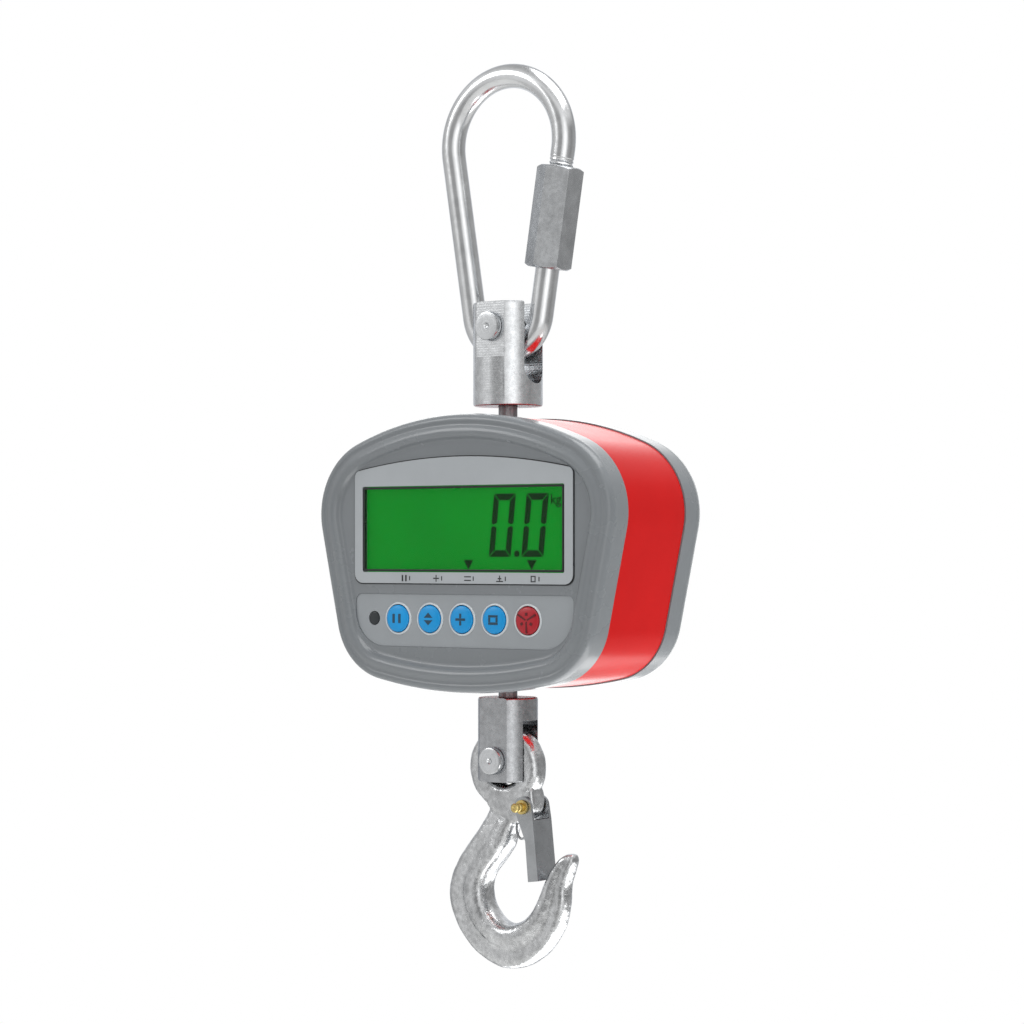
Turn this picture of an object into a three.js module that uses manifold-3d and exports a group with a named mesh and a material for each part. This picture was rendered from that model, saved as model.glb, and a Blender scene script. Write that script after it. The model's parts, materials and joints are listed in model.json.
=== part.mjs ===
// Electronic crane scale: a quick link, a top clevis, a weighing case with its load cell,
// display and keys, a bottom clevis and a safety hook, hung one below the other.
// Millimetres, +Z up, the display faces -Y. The case is drawn about its own middle, and
// the whole chain is then lowered so that the origin is where the link hangs.

import * as THREE from 'three';
import { mergeVertices } from 'three/addons/utils/BufferGeometryUtils.js';
import Module from 'manifold-3d';

const wasm = await Module();
wasm.setup();

// ---- driving dimensions ----------------------------------------------------------------

const GAP = 0.3; // clearance between neighbouring pieces
const DEG = Math.PI / 180;

const LINK = {
  bar: 5, // radius of the round bar
  topRadius: 28.2, // centreline radius of the wide end
  topZ: 169.7,
  bottomRadius: 17.2, // centreline radius of the narrow end
  bottomZ: 100.1,
  opening: 9, // gap in the bar that the sleeve closes
  sleeveLength: 42,
  sleeveFlats: 17,
  sleeveFromBend: 19.4, // sleeve end to the narrow bend, along the leg
  engagement: 4.5, // how far the sleeve overlaps the upper end of the bar
  sleeveTurn: -3.5 * DEG, // how far the sleeve happens to be screwed round
};

const TOP_CLEVIS = {
  radius: 14.5, bottom: 60.2, top: 103.3, slot: 13, slotFloor: 69.4, flatAt: 12.7, flatFrom: 80.3,
  pinZ: 92.9, pinRadius: 4.7, headRadius: 5.95, headLength: 2.7,
};

const BOTTOM_CLEVIS = {
  radius: 12.5, top: -60.8, bottom: -95.7, slot: 10.6, slotTop: -70.2, flatAt: 10.5,
  pinZ: -86.8, pinRadius: 3.8, headRadius: 5.65, headLength: 2.7,
};

const STUD = {
  radius: 4, headRadius: 6, headHeight: 4.4, nutFlats: 13, nutHeight: 6.5,
  sink: 2, // how far the head sits in the floor of the clevis slot
  headSlack: 0.6,
};

// The case outline is six tangent arcs and two leaning sides.
const CASE = {
  topZ: 56, topRadius: 140, shoulderRadius: 32,
  bottomZ: -57.9, bottomRadius: 205, hipRadius: 28,
  sideDistance: 69.7, sideLean: 12 * DEG,
  wall: 2.5, bandHalf: 21.2, bandInset: 0.6,
  panelY: 32.5, panelWall: 2.5,
};

const WINDOW = { halfWidth: 50.7, bottom: -8.4, top: 26.5 };
const OVERLAY = { halfWidth: 55.1, bottom: -13.3, shoulder: 33, peak: 38.5, corner: 4 };
const KEYPAD = { halfWidth: 55, top: -17.7, bottom: -39.5, recess: 1.2, film: 0.5 };
const KEYS = { z: -27.9, pitch: 16.4, count: 5, radius: 5.6, flange: 6.4, travel: 1 };
const SENSOR = { x: -45.5, radius: 2.65 };

const BOARD = { front: -24, back: -22.4, halfWidth: 49, top: 38, bottom: -42, notch: 43 };
const CELL = {
  halfWidth: 25, halfHeight: 38, halfDepth: 10,
  arm: 8.5, slit: 2.5, slitReach: 16.5, // the slits run in from opposite sides past the middle
  web: 20, webEyeX: 7, webEyeRadius: 6, // two round holes thin the middle web
  boreRadius: 6.2, pocketHalf: 9, pocketFrom: 18,
  bracketZ: 33.7, threadRadius: 2.2,
};
const TILT_Z = 25; // the studs tilt about seats this far above and below the middle

const HOOK = { eyeZ: -90, eyeInner: 7.3, eyeOuter: 17.5, eyeThick: 9.8, lug: 9.8 };
const LATCH = { x: 12.8, z: -15, pin: 1.9, width: 13.6, sheet: 1.4 };
const HOOK_HANG = 2.6 * DEG; // turn that brings the hook's weight under its eye

const HANG_DROP = LINK.topZ + LINK.topRadius - LINK.bar;

// ---- materials ---------------------------------------------------------------------------

const LOOKS = {
  zinc: [0xb8bcc0, 0.35, 0.9],
  steel: [0x8d9094, 0.45, 0.9],
  brass: [0xc2a24e, 0.4, 0.9],
  alloy: [0xc5c8cb, 0.4, 0.8],
  shell: [0x7d8285, 0.5, 0],
  red: [0xc82323, 0.3, 0],
  film: [0xa5aaaf, 0.45, 0],
  keypad: [0x969a9d, 0.5, 0],
  clear: [0xdfe8e4, 0.08, 0],
  lcd: [0x00871e, 0.35, 0],
  white: [0xe6e6e2, 0.5, 0],
  blue: [0x0096e1, 0.4, 0],
  redKey: [0xc8192d, 0.4, 0],
  dark: [0x26292b, 0.3, 0],
  board: [0x1d5a34, 0.5, 0],
};

function look(name) {
  const [color, roughness, metalness] = LOOKS[name];
  return new THREE.MeshStandardMaterial({ color, roughness, metalness });
}

function piece(name, shape, lookName) {
  const geometry = shape instanceof THREE.BufferGeometry ? shape : toGeometry(shape);
  const mesh = new THREE.Mesh(geometry, look(lookName));
  mesh.name = name;
  return mesh;
}

function group(...children) {
  const result = new THREE.Group();
  result.add(...children);
  return result;
}

// ---- solids ------------------------------------------------------------------------------

function toSolid(geometry) {
  const plain = geometry.clone();
  plain.deleteAttribute('normal');
  plain.deleteAttribute('uv');
  const merged = mergeVertices(plain, 1e-4);
  const vertProperties = new Float32Array(merged.attributes.position.array);
  const triVerts = new Uint32Array(merged.index.array);
  return new wasm.Manifold(new wasm.Mesh({ numProp: 3, vertProperties, triVerts }));
}

function toGeometry(solid) {
  const { vertProperties, triVerts } = solid.getMesh();
  const geometry = new THREE.BufferGeometry();
  geometry.setAttribute('position', new THREE.BufferAttribute(vertProperties, 3));
  geometry.setIndex(new THREE.BufferAttribute(triVerts, 1));
  geometry.computeVertexNormals();
  return geometry;
}

// A shape drawn in X and Z, given thickness from yFront back to yBack.
function slab(shape, yFront, yBack, curveSegments = 8) {
  const depth = yBack - yFront;
  const geometry = new THREE.ExtrudeGeometry(shape, { depth, bevelEnabled: false, curveSegments });
  geometry.rotateX(Math.PI / 2);
  geometry.translate(0, yBack, 0);
  return geometry;
}

function box(x0, x1, y0, y1, z0, z1) {
  const geometry = new THREE.BoxGeometry(x1 - x0, y1 - y0, z1 - z0);
  geometry.translate((x0 + x1) / 2, (y0 + y1) / 2, (z0 + z1) / 2);
  return geometry;
}

function rodY(radius, y0, y1, x, z, sides = 20) {
  const geometry = new THREE.CylinderGeometry(radius, radius, y1 - y0, sides);
  geometry.translate(x, (y0 + y1) / 2, z);
  return geometry;
}

function rodZ(radius, z0, z1, sides = 20) {
  const geometry = new THREE.CylinderGeometry(radius, radius, z1 - z0, sides);
  geometry.rotateX(Math.PI / 2);
  geometry.translate(0, 0, (z0 + z1) / 2);
  return geometry;
}

// A turned piece from its [radius, height] profile, standing along Y or Z.
function turned(profile, sides = 20) {
  return new THREE.LatheGeometry(profile.map(([r, h]) => new THREE.Vector2(r, h)), sides);
}

function turnedZ(profile, sides = 20) {
  return turned(profile, sides).rotateX(Math.PI / 2);
}

function hexZ(flats, z0, z1) {
  return rodZ(flats / Math.sqrt(3), z0, z1, 6);
}

function roundedRect(x0, x1, z0, z1, radius) {
  const shape = new THREE.Shape();
  shape.absarc(x1 - radius, z1 - radius, radius, 0, Math.PI / 2);
  shape.absarc(x0 + radius, z1 - radius, radius, Math.PI / 2, Math.PI);
  shape.absarc(x0 + radius, z0 + radius, radius, Math.PI, 1.5 * Math.PI);
  shape.absarc(x1 - radius, z0 + radius, radius, 1.5 * Math.PI, 2 * Math.PI);
  return shape;
}

function polygon(points) {
  return new THREE.Shape(points.map(([x, z]) => new THREE.Vector2(x, z)));
}

// ---- case outline ------------------------------------------------------------------------

// Centre of a corner arc that touches the big arc above or below and the leaning side.
function cornerCentre(bigZ, bigRadius, cornerRadius, side) {
  const slope = Math.tan(CASE.sideLean);
  const start = (CASE.sideDistance - cornerRadius) / Math.cos(CASE.sideLean);
  const reach = bigRadius - cornerRadius;
  const a = 1 + slope * slope;
  const b = 2 * (start * slope - bigZ);
  const c = start * start + bigZ * bigZ - reach * reach;
  const z = (-b + side * Math.sqrt(b * b - 4 * a * c)) / (2 * a);
  return { x: start + slope * z, z };
}

function caseOutline(inset) {
  const topCentre = CASE.topZ - CASE.topRadius;
  const bottomCentre = CASE.bottomZ + CASE.bottomRadius;
  const shoulder = cornerCentre(topCentre, CASE.topRadius, CASE.shoulderRadius, 1);
  const hip = cornerCentre(bottomCentre, CASE.bottomRadius, CASE.hipRadius, -1);
  const topAngle = Math.atan2(shoulder.z - topCentre, shoulder.x);
  const bottomAngle = Math.atan2(hip.z - bottomCentre, hip.x);
  const shoulderRadius = CASE.shoulderRadius - inset;
  const hipRadius = CASE.hipRadius - inset;
  const side = -CASE.sideLean;
  const shape = new THREE.Shape();
  shape.absarc(0, topCentre, CASE.topRadius - inset, topAngle, Math.PI - topAngle);
  shape.absarc(-shoulder.x, shoulder.z, shoulderRadius, Math.PI - topAngle, Math.PI - side);
  shape.absarc(-hip.x, hip.z, hipRadius, Math.PI - side, Math.PI - bottomAngle);
  shape.absarc(0, bottomCentre, CASE.bottomRadius - inset, -Math.PI - bottomAngle, bottomAngle);
  shape.absarc(hip.x, hip.z, hipRadius, bottomAngle, side);
  shape.absarc(shoulder.x, shoulder.z, shoulderRadius, side, topAngle);
  return shape;
}

// A closed skin over rings of equally many [x, y, z] points, with a flat cap at each end.
function ringSkin(rings) {
  const count = rings[0].length;
  const last = (rings.length - 1) * count;
  const index = [];
  for (let k = 0; k + 1 < rings.length; k += 1) {
    for (let i = 0; i < count; i += 1) {
      const a = k * count + i;
      const b = k * count + (i + 1) % count;
      index.push(a, b, a + count, b, b + count, a + count);
    }
  }
  for (const [start, turn] of [[0, -1], [last, 1]]) {
    for (let i = 1; i + 1 < count; i += 1) {
      const fan = [start, start + i, start + i + 1];
      index.push(...(turn > 0 ? fan : fan.reverse()));
    }
  }
  const geometry = new THREE.BufferGeometry();
  geometry.setAttribute('position', new THREE.Float32BufferAttribute(rings.flat(2), 3));
  geometry.setIndex(index);
  return geometry;
}

// The same over rings of the case outline, each given as [inset, y].
function shellSkin(rings) {
  return ringSkin(rings.map(([inset, y]) =>
    distinct(caseOutline(inset).getPoints(3)).map((p) => [p.x, y, p.y])));
}

function distinct(points) {
  return points.filter((p, i) => p.distanceTo(points[(i + points.length - 1) % points.length]) > 1e-4);
}

// Inside face, open rim, side wall, rolled edge, shallow valley, ridge and sunk panel.
function shellRings() {
  return [
    [CASE.wall, CASE.panelY - CASE.panelWall], [CASE.wall, CASE.bandHalf + GAP], [0, CASE.bandHalf + GAP],
    [0, 31.2], [0.8, 33.6], [2.4, 34.5], [4.2, 34.2], [6.2, 35.2], [7.6, 35.5], [9.2, 34.6],
    [10.5, CASE.panelY],
  ];
}

// ---- quick link --------------------------------------------------------------------------

function linkLean() {
  return Math.asin((LINK.topRadius - LINK.bottomRadius) / (LINK.topZ - LINK.bottomZ));
}

// Distance along the right leg from the narrow bend, as a point in X and Z.
function onLeg(distance) {
  const lean = linkLean();
  const x = LINK.bottomRadius * Math.cos(lean) + distance * Math.sin(lean);
  const z = LINK.bottomZ - LINK.bottomRadius * Math.sin(lean) + distance * Math.cos(lean);
  return new THREE.Vector3(x, 0, z);
}

class LinkPath extends THREE.Curve {
  constructor(start, end) {
    super();
    this.start = start;
    this.end = end;
    this.lean = linkLean();
    this.leg = Math.sqrt((LINK.topZ - LINK.bottomZ) ** 2 - (LINK.topRadius - LINK.bottomRadius) ** 2);
  }

  // Runs down the right leg, round the narrow end, up the left leg and over the wide end.
  getPoint(t, target = new THREE.Vector3()) {
    const bottomArc = LINK.bottomRadius * (Math.PI - 2 * this.lean);
    const topArc = LINK.topRadius * (Math.PI + 2 * this.lean);
    const total = this.start + bottomArc + this.leg + topArc + (this.leg - this.end);
    let s = t * total;
    if (s <= this.start) return target.copy(onLeg(this.start - s));
    s -= this.start;
    if (s <= bottomArc) {
      const angle = -this.lean - s / LINK.bottomRadius;
      return this.around(target, LINK.bottomZ, LINK.bottomRadius, angle);
    }
    s -= bottomArc;
    if (s <= this.leg) {
      target.copy(onLeg(s));
      return target.set(-target.x, 0, target.z);
    }
    s -= this.leg;
    if (s <= topArc) {
      const angle = Math.PI + this.lean - s / LINK.topRadius;
      return this.around(target, LINK.topZ, LINK.topRadius, angle);
    }
    return target.copy(onLeg(this.leg - (s - topArc)));
  }

  around(target, centreZ, radius, angle) {
    return target.set(radius * Math.cos(angle), 0, centreZ + radius * Math.sin(angle));
  }
}

function quickLink() {
  const upperEnd = LINK.sleeveFromBend + LINK.sleeveLength - LINK.engagement;
  const path = new LinkPath(upperEnd - LINK.opening, upperEnd);
  const section = new THREE.Shape().absarc(0, 0, LINK.bar, 0, 2 * Math.PI);
  const options = { steps: 50, curveSegments: 5, bevelEnabled: false, extrudePath: path };
  return piece('quick_link', new THREE.ExtrudeGeometry(section, options), 'zinc');
}

function sleeve() {
  const half = LINK.sleeveLength / 2;
  const corner = LINK.sleeveFlats / Math.sqrt(3);
  const barrel = turnedZ([
    [0, -half], [corner - 1.5, -half], [corner, -half + 1.2],
    [corner, half - 1.2], [corner - 1.5, half], [0, half],
  ], 24);
  const hex = toSolid(hexZ(LINK.sleeveFlats, -half, half).rotateZ(LINK.sleeveTurn));
  const bore = toSolid(rodZ(LINK.bar + GAP, -half - 1, half + 1, 16));
  const mesh = piece('link_sleeve', hex.intersect(toSolid(barrel)).subtract(bore), 'zinc');
  mesh.position.copy(onLeg(LINK.sleeveFromBend + half));
  mesh.rotation.y = linkLean();
  return mesh;
}

// ---- clevises and studs --------------------------------------------------------------------

function topClevis() {
  const c = TOP_CLEVIS;
  const half = c.slot / 2;
  const body = toSolid(turnedZ([
    [0, c.bottom], [c.radius - 0.8, c.bottom], [c.radius, c.bottom + 0.8],
    [c.radius, c.top - 0.8], [c.radius - 0.8, c.top], [0, c.top],
  ], 32));
  const round = rodZ(half, -c.radius - 1, c.radius + 1).rotateY(Math.PI / 2);
  round.translate(0, 0, c.slotFloor + half);
  const slot = box(-c.radius - 1, c.radius + 1, -half, half, c.slotFloor + half, c.top + 1);
  const near = box(-c.radius, c.radius, -c.radius - 1, -c.flatAt, c.flatFrom, c.top + 1);
  const far = box(-c.radius, c.radius, c.flatAt, c.radius + 1, c.flatFrom, c.top + 1);
  const bore = rodY(c.pinRadius + GAP, -c.radius - 1, c.radius + 1, 0, c.pinZ);
  const hole = rodZ(STUD.radius + GAP, c.bottom - 1, c.slotFloor + 1);
  const seat = rodZ(STUD.headRadius + GAP, c.slotFloor - STUD.sink, c.slotFloor + half);
  const cuts = [round, slot, near, far, bore, hole, seat];
  const solid = cuts.reduce((rest, cut) => rest.subtract(toSolid(cut)), body);
  return piece('top_clevis', solid, 'zinc');
}

function bottomClevis() {
  const c = BOTTOM_CLEVIS;
  const half = c.slot / 2;
  const body = toSolid(turnedZ([
    [0, c.bottom], [c.radius - 0.8, c.bottom], [c.radius, c.bottom + 0.8],
    [c.radius, c.top - 0.8], [c.radius - 0.8, c.top], [0, c.top],
  ], 32));
  const slot = box(-c.radius - 1, c.radius + 1, -half, half, c.bottom - 1, c.slotTop);
  const near = box(-c.radius, c.radius, -c.radius - 1, -c.flatAt, c.bottom - 1, c.top + 1);
  const far = box(-c.radius, c.radius, c.flatAt, c.radius + 1, c.bottom - 1, c.top + 1);
  const bore = rodY(c.pinRadius + GAP, -c.radius - 1, c.radius + 1, 0, c.pinZ);
  const hole = rodZ(STUD.radius + GAP, c.slotTop - 1, c.top + 1);
  const seat = rodZ(STUD.headRadius + GAP, c.slotTop - 0.5, c.slotTop + STUD.headHeight + STUD.headSlack);
  const cuts = [slot, near, far, bore, hole, seat];
  const solid = cuts.reduce((rest, cut) => rest.subtract(toSolid(cut)), body);
  return piece('bottom_clevis', solid, 'zinc');
}

// Headed pin with a dimpled head in front and a groove for its clip behind.
function clevisPin(name, clevis) {
  const face = -clevis.flatAt - GAP;
  const front = face - clevis.headLength;
  const back = clevis.flatAt + 3;
  const r = clevis.pinRadius;
  const profile = [
    [0, front + 0.6], [1.1, front], [clevis.headRadius - 0.6, front], [clevis.headRadius, front + 0.6],
    [clevis.headRadius, face], [r, face], [r, back - 2.3], [r - 0.8, back - 2.3],
    [r - 0.8, back - 0.9], [r, back - 0.9], [r - 0.5, back], [0, back],
  ];
  const geometry = turned(profile, 18);
  geometry.translate(0, 0, clevis.pinZ);
  return piece(name, geometry, 'zinc');
}

// Spring clip: an open ring in the pin's groove.
function pinClip(name, clevis) {
  const back = clevis.flatAt + 3;
  const inner = clevis.pinRadius - 0.8 + GAP;
  const outer = clevis.pinRadius + 1.8;
  const opening = 35 * DEG;
  const shape = new THREE.Shape();
  shape.absarc(0, 0, outer, -Math.PI / 2 + opening, 1.5 * Math.PI - opening);
  shape.absarc(0, 0, inner, 1.5 * Math.PI - opening, -Math.PI / 2 + opening, true);
  const geometry = slab(shape, back - 2, back - 1.2, 8);
  geometry.translate(0, 0, clevis.pinZ);
  return piece(name, geometry, 'steel');
}

// Shouldered bolt that the clevis turns on; its other end is held in the load cell.
function stud(name, headZ, seatZ) {
  const up = Math.sign(headZ - seatZ);
  const head = headZ + up * STUD.headHeight;
  const end = seatZ - up * (STUD.nutHeight / 2 + 3);
  const corner = 0.7;
  const profile = [
    [0, end], [STUD.radius - corner, end], [STUD.radius, end + up * corner],
    [STUD.radius, headZ], [STUD.headRadius, headZ],
    [STUD.headRadius, head - up * corner], [STUD.headRadius - corner, head], [0, head],
  ];
  return piece(name, turnedZ(up > 0 ? profile : profile.reverse(), 16), 'steel');
}

function studNut(name, seatZ) {
  const half = STUD.nutHeight / 2;
  const corner = STUD.nutFlats / Math.sqrt(3);
  const barrel = turnedZ([
    [0, -half], [corner - 1, -half], [corner, -half + 0.7],
    [corner, half - 0.7], [corner - 1, half], [0, half],
  ], 24);
  const hex = toSolid(hexZ(STUD.nutFlats, -half, half));
  const bore = toSolid(rodZ(STUD.radius + GAP, -half - 1, half + 1, 20));
  const mesh = piece(name, hex.intersect(toSolid(barrel)).subtract(bore), 'steel');
  mesh.position.z = seatZ;
  return mesh;
}

// ---- case ----------------------------------------------------------------------------------

const CASE_SCREWS = [[-58, 27], [58, 27], [-49.5, -38], [49.5, -38]];
const BOARD_SCREWS = [[-40, -16], [40, -16], [-40, 34], [40, 34]];
const KEY_XS = Array.from({ length: KEYS.count }, (_, i) => (i - (KEYS.count - 1) / 2) * KEYS.pitch);

function keypadShape(inset) {
  const k = KEYPAD;
  const x = k.halfWidth - inset;
  const top = k.top - inset;
  const bottom = k.bottom + inset;
  const small = 3 - inset;
  const large = 15;
  const shape = new THREE.Shape();
  shape.absarc(x - small, top - small, small, 0, Math.PI / 2);
  shape.absarc(-x + small, top - small, small, Math.PI / 2, Math.PI);
  shape.absarc(-x + large, bottom + large, large, Math.PI, 1.5 * Math.PI);
  shape.absarc(x - large, bottom + large, large, 1.5 * Math.PI, 2 * Math.PI);
  return shape;
}

function frontShell() {
  const rings = shellRings().map(([inset, y]) => [inset, -y]);
  const inside = -(CASE.panelY - CASE.panelWall);
  let solid = toSolid(shellSkin(rings));
  for (const [x, z] of CASE_SCREWS) {
    solid = solid.add(toSolid(rodY(4, inside - 0.5, -CASE.bandHalf - 1, x, z, 16)));
    solid = solid.subtract(toSolid(rodY(1.8, inside + 0.8, 0, x, z, 12)));
  }
  for (const [x, z] of BOARD_SCREWS) {
    solid = solid.add(toSolid(rodY(2.8, inside - 0.5, BOARD.front - GAP, x, z, 12)));
    solid = solid.subtract(toSolid(rodY(1.3, inside + 0.5, 0, x, z, 10)));
  }
  const window = roundedRect(-WINDOW.halfWidth - GAP, WINDOW.halfWidth + GAP,
    WINDOW.bottom - GAP, WINDOW.top + GAP, 0.8);
  solid = solid.subtract(toSolid(slab(window, -40, inside + 1, 2)));
  const recess = slab(keypadShape(0), -40, -CASE.panelY + KEYPAD.recess, 4);
  solid = solid.subtract(toSolid(recess));
  for (const x of KEY_XS) {
    solid = solid.subtract(toSolid(rodY(KEYS.radius + GAP, -40, inside + 1, x, KEYS.z, 20)));
  }
  const eye = rodY(SENSOR.radius + GAP, -40, inside + 1, SENSOR.x, KEYS.z, 16);
  return piece('front_shell', solid.subtract(toSolid(eye)), 'shell');
}

// The red middle of the case, with a hole above and below for the studs.
function caseBand() {
  const shape = caseOutline(CASE.bandInset);
  shape.holes.push(caseOutline(CASE.bandInset + CASE.wall));
  const ring = toSolid(slab(shape, -CASE.bandHalf, CASE.bandHalf, 3));
  const holes = toSolid(rodZ(8.2, CASE.bottomZ - 5, CASE.topZ + 5, 24));
  return piece('case_band', ring.subtract(holes), 'red');
}

const DOOR = { halfWidth: 33, bottom: -42, top: -4, thick: 1.6, corner: 3 };
const JACK = { x: 46, z: -14, radius: 5.5 };

function rearShell() {
  const inside = CASE.panelY - CASE.panelWall;
  const rings = shellRings().reverse();
  let solid = toSolid(shellSkin(rings));
  for (const [x, z] of CASE_SCREWS) {
    solid = solid.add(toSolid(rodY(4, CASE.bandHalf + 1, inside + 0.5, x, z, 16)));
    solid = solid.subtract(toSolid(rodY(1.8, 0, 40, x, z, 12)));
    solid = solid.subtract(toSolid(rodY(3.2, inside - 0.5, 40, x, z, 16)));
  }
  const d = DOOR;
  const seat = roundedRect(-d.halfWidth - GAP, d.halfWidth + GAP, d.bottom - GAP, d.top + GAP, d.corner);
  const opening = roundedRect(-d.halfWidth + 4, d.halfWidth - 4, d.bottom + 2, d.top - 2, 2);
  solid = solid.subtract(toSolid(slab(seat, CASE.panelY - d.thick - GAP, 40, 3)));
  solid = solid.subtract(toSolid(slab(opening, inside - 1, 40, 3)));
  for (const x of doorScrewXs()) {
    solid = solid.subtract(toSolid(rodY(1.1, inside - 1, 40, x, doorScrewZ(), 10)));
  }
  const hole = rodY(JACK.radius + GAP, inside - 1, 40, JACK.x, JACK.z, 20);
  return piece('rear_shell', solid.subtract(toSolid(hole)), 'shell');
}

function doorScrewXs() {
  return [-DOOR.halfWidth + 2.4, DOOR.halfWidth - 2.4];
}

function doorScrewZ() {
  return (DOOR.bottom + DOOR.top) / 2;
}

function batteryDoor() {
  const d = DOOR;
  const shape = roundedRect(-d.halfWidth, d.halfWidth, d.bottom, d.top, d.corner);
  let solid = toSolid(slab(shape, CASE.panelY - d.thick, CASE.panelY, 3));
  for (const x of doorScrewXs()) {
    solid = solid.subtract(toSolid(rodY(1.3, 0, 40, x, doorScrewZ(), 10)));
  }
  return piece('battery_door', solid, 'shell');
}

// Round-headed screw along Y. Its shaft runs forward from the head.
function screwY(name, x, z, headY, headRadius, headHeight, radius, length) {
  const profile = [
    [0, headY - length], [radius, headY - length], [radius, headY], [headRadius, headY],
    [headRadius * 0.85, headY + headHeight], [headRadius * 0.35, headY + headHeight],
    [0, headY + headHeight * 0.5],
  ];
  const geometry = turned(profile, 10);
  geometry.translate(x, 0, z);
  return piece(name, geometry, 'steel');
}

function caseScrews() {
  const head = CASE.panelY - CASE.panelWall - 0.5 + GAP;
  return CASE_SCREWS.map(([x, z], i) =>
    screwY(`case_screw_${i + 1}`, x, z, head, 2.8, 1.8, 1.5, head + 28));
}

function doorScrews() {
  const head = CASE.panelY + GAP;
  return doorScrewXs().map((x, i) =>
    screwY(`door_screw_${i + 1}`, x, doorScrewZ(), head, 1.9, 1.1, 0.8, 4));
}

function boardScrews() {
  return BOARD_SCREWS.map(([x, z], i) =>
    screwY(`board_screw_${i + 1}`, x, z, BOARD.back + GAP, 2.2, 1.5, 1, 6));
}

function dcJack() {
  const inside = CASE.panelY - CASE.panelWall;
  const front = inside - 9;
  const profile = [
    [0, front], [7, front], [7, inside - GAP], [JACK.radius, inside - GAP],
    [JACK.radius, CASE.panelY], [3.1, CASE.panelY], [3.1, inside - 5], [1, inside - 5],
    [1, CASE.panelY - 1], [0, CASE.panelY - 1],
  ];
  const geometry = turned(profile, 20);
  geometry.translate(JACK.x, 0, JACK.z);
  return piece('dc_jack', geometry, 'dark');
}

// ---- display and keys -----------------------------------------------------------------------

function overlayShape() {
  const o = OVERLAY;
  const shape = new THREE.Shape();
  const rise = o.peak - o.shoulder;
  const span = o.halfWidth - 1;
  const radius = (span * span + rise * rise) / (2 * rise);
  const angle = Math.asin(span / radius);
  shape.absarc(0, o.peak - radius, radius, Math.PI / 2 - angle, Math.PI / 2 + angle);
  shape.absarc(-o.halfWidth + o.corner, o.bottom + o.corner, o.corner, Math.PI, 1.5 * Math.PI);
  shape.absarc(o.halfWidth - o.corner, o.bottom + o.corner, o.corner, 1.5 * Math.PI, 2 * Math.PI);
  return shape;
}

function displayOverlay() {
  const shape = overlayShape();
  const w = WINDOW;
  shape.holes.push(roundedRect(-w.halfWidth - GAP, w.halfWidth + GAP, w.bottom - GAP, w.top + GAP, 0.8));
  const back = -CASE.panelY - GAP;
  return piece('display_overlay', slab(shape, back - 0.4, back, 6), 'film');
}

function displayWindow() {
  const shape = roundedRect(-WINDOW.halfWidth, WINDOW.halfWidth, WINDOW.bottom, WINDOW.top, 0.8);
  return piece('display_window', slab(shape, -CASE.panelY - 0.6, -CASE.panelY + 0.8, 2), 'clear');
}

function lcdPanel() {
  return piece('lcd_panel', box(-52, 52, -29.7, -27.7, -10.5, 28.5), 'lcd');
}

function lcdBacklight() {
  return piece('lcd_backlight', box(-52.5, 52.5, -27.4, BOARD.front - GAP, -11, 29), 'white');
}

function keypadFilm() {
  const back = -CASE.panelY + KEYPAD.recess - GAP;
  const shape = keypadShape(GAP);
  for (const x of KEY_XS) {
    shape.holes.push(new THREE.Path().absarc(x, KEYS.z, KEYS.radius + GAP, 0, 2 * Math.PI));
  }
  shape.holes.push(new THREE.Path().absarc(SENSOR.x, KEYS.z, SENSOR.radius + GAP, 0, 2 * Math.PI));
  return piece('keypad_film', slab(shape, back - KEYPAD.film, back, 5), 'keypad');
}

// Domed cap with a flange that keeps it behind the panel.
function keys() {
  const inside = -(CASE.panelY - CASE.panelWall);
  const rim = inside + GAP;
  const face = -CASE.panelY - 0.5;
  return KEY_XS.map((x, i) => {
    const profile = [
      [0, face - 0.5], [KEYS.radius * 0.6, face - 0.35], [KEYS.radius - 0.3, face],
      [KEYS.radius, face + 0.4], [KEYS.radius, rim], [KEYS.flange, rim], [KEYS.flange, rim + 1], [0, rim + 1],
    ];
    const geometry = turned(profile, 16);
    geometry.translate(x, 0, KEYS.z);
    return piece(`key_${i + 1}`, geometry, i + 1 < KEYS.count ? 'blue' : 'redKey');
  });
}

function keySwitches() {
  const front = -(CASE.panelY - CASE.panelWall) + GAP + 1 + KEYS.travel + GAP;
  return KEY_XS.map((x, i) => {
    const shape = box(x - 3, x + 3, front, BOARD.front - GAP, KEYS.z - 3, KEYS.z + 3);
    return piece(`key_switch_${i + 1}`, shape, 'dark');
  });
}

function sensorWindow() {
  const shape = rodY(SENSOR.radius, -CASE.panelY + 0.4, -30.2, SENSOR.x, KEYS.z, 20);
  return piece('sensor_window', shape, 'dark');
}

function sensor() {
  const shape = box(SENSOR.x - 2.5, SENSOR.x + 2.5, -29.6, BOARD.front - GAP, KEYS.z - 3, KEYS.z + 3);
  return piece('infrared_receiver', shape, 'dark');
}

function mainBoard() {
  const b = BOARD;
  const step = -32;
  const shape = polygon([
    [-b.halfWidth, b.top], [-b.halfWidth, step], [-b.notch, step], [-b.notch, b.bottom],
    [b.notch, b.bottom], [b.notch, step], [b.halfWidth, step], [b.halfWidth, b.top],
  ]);
  for (const [x, z] of BOARD_SCREWS) {
    shape.holes.push(new THREE.Path().absarc(x, z, 1.3, 0, 2 * Math.PI));
  }
  return piece('main_board', slab(shape, b.front, b.back, 4), 'board');
}

function buzzer() {
  const back = BOARD.back + GAP;
  const profile = [[0, back], [6, back], [6, back + 6], [1.2, back + 6], [1.2, back + 4], [0, back + 4]];
  const geometry = turned(profile, 20);
  geometry.translate(34, 0, 12);
  return piece('buzzer', geometry, 'dark');
}

// ---- load cell and power --------------------------------------------------------------------

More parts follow.
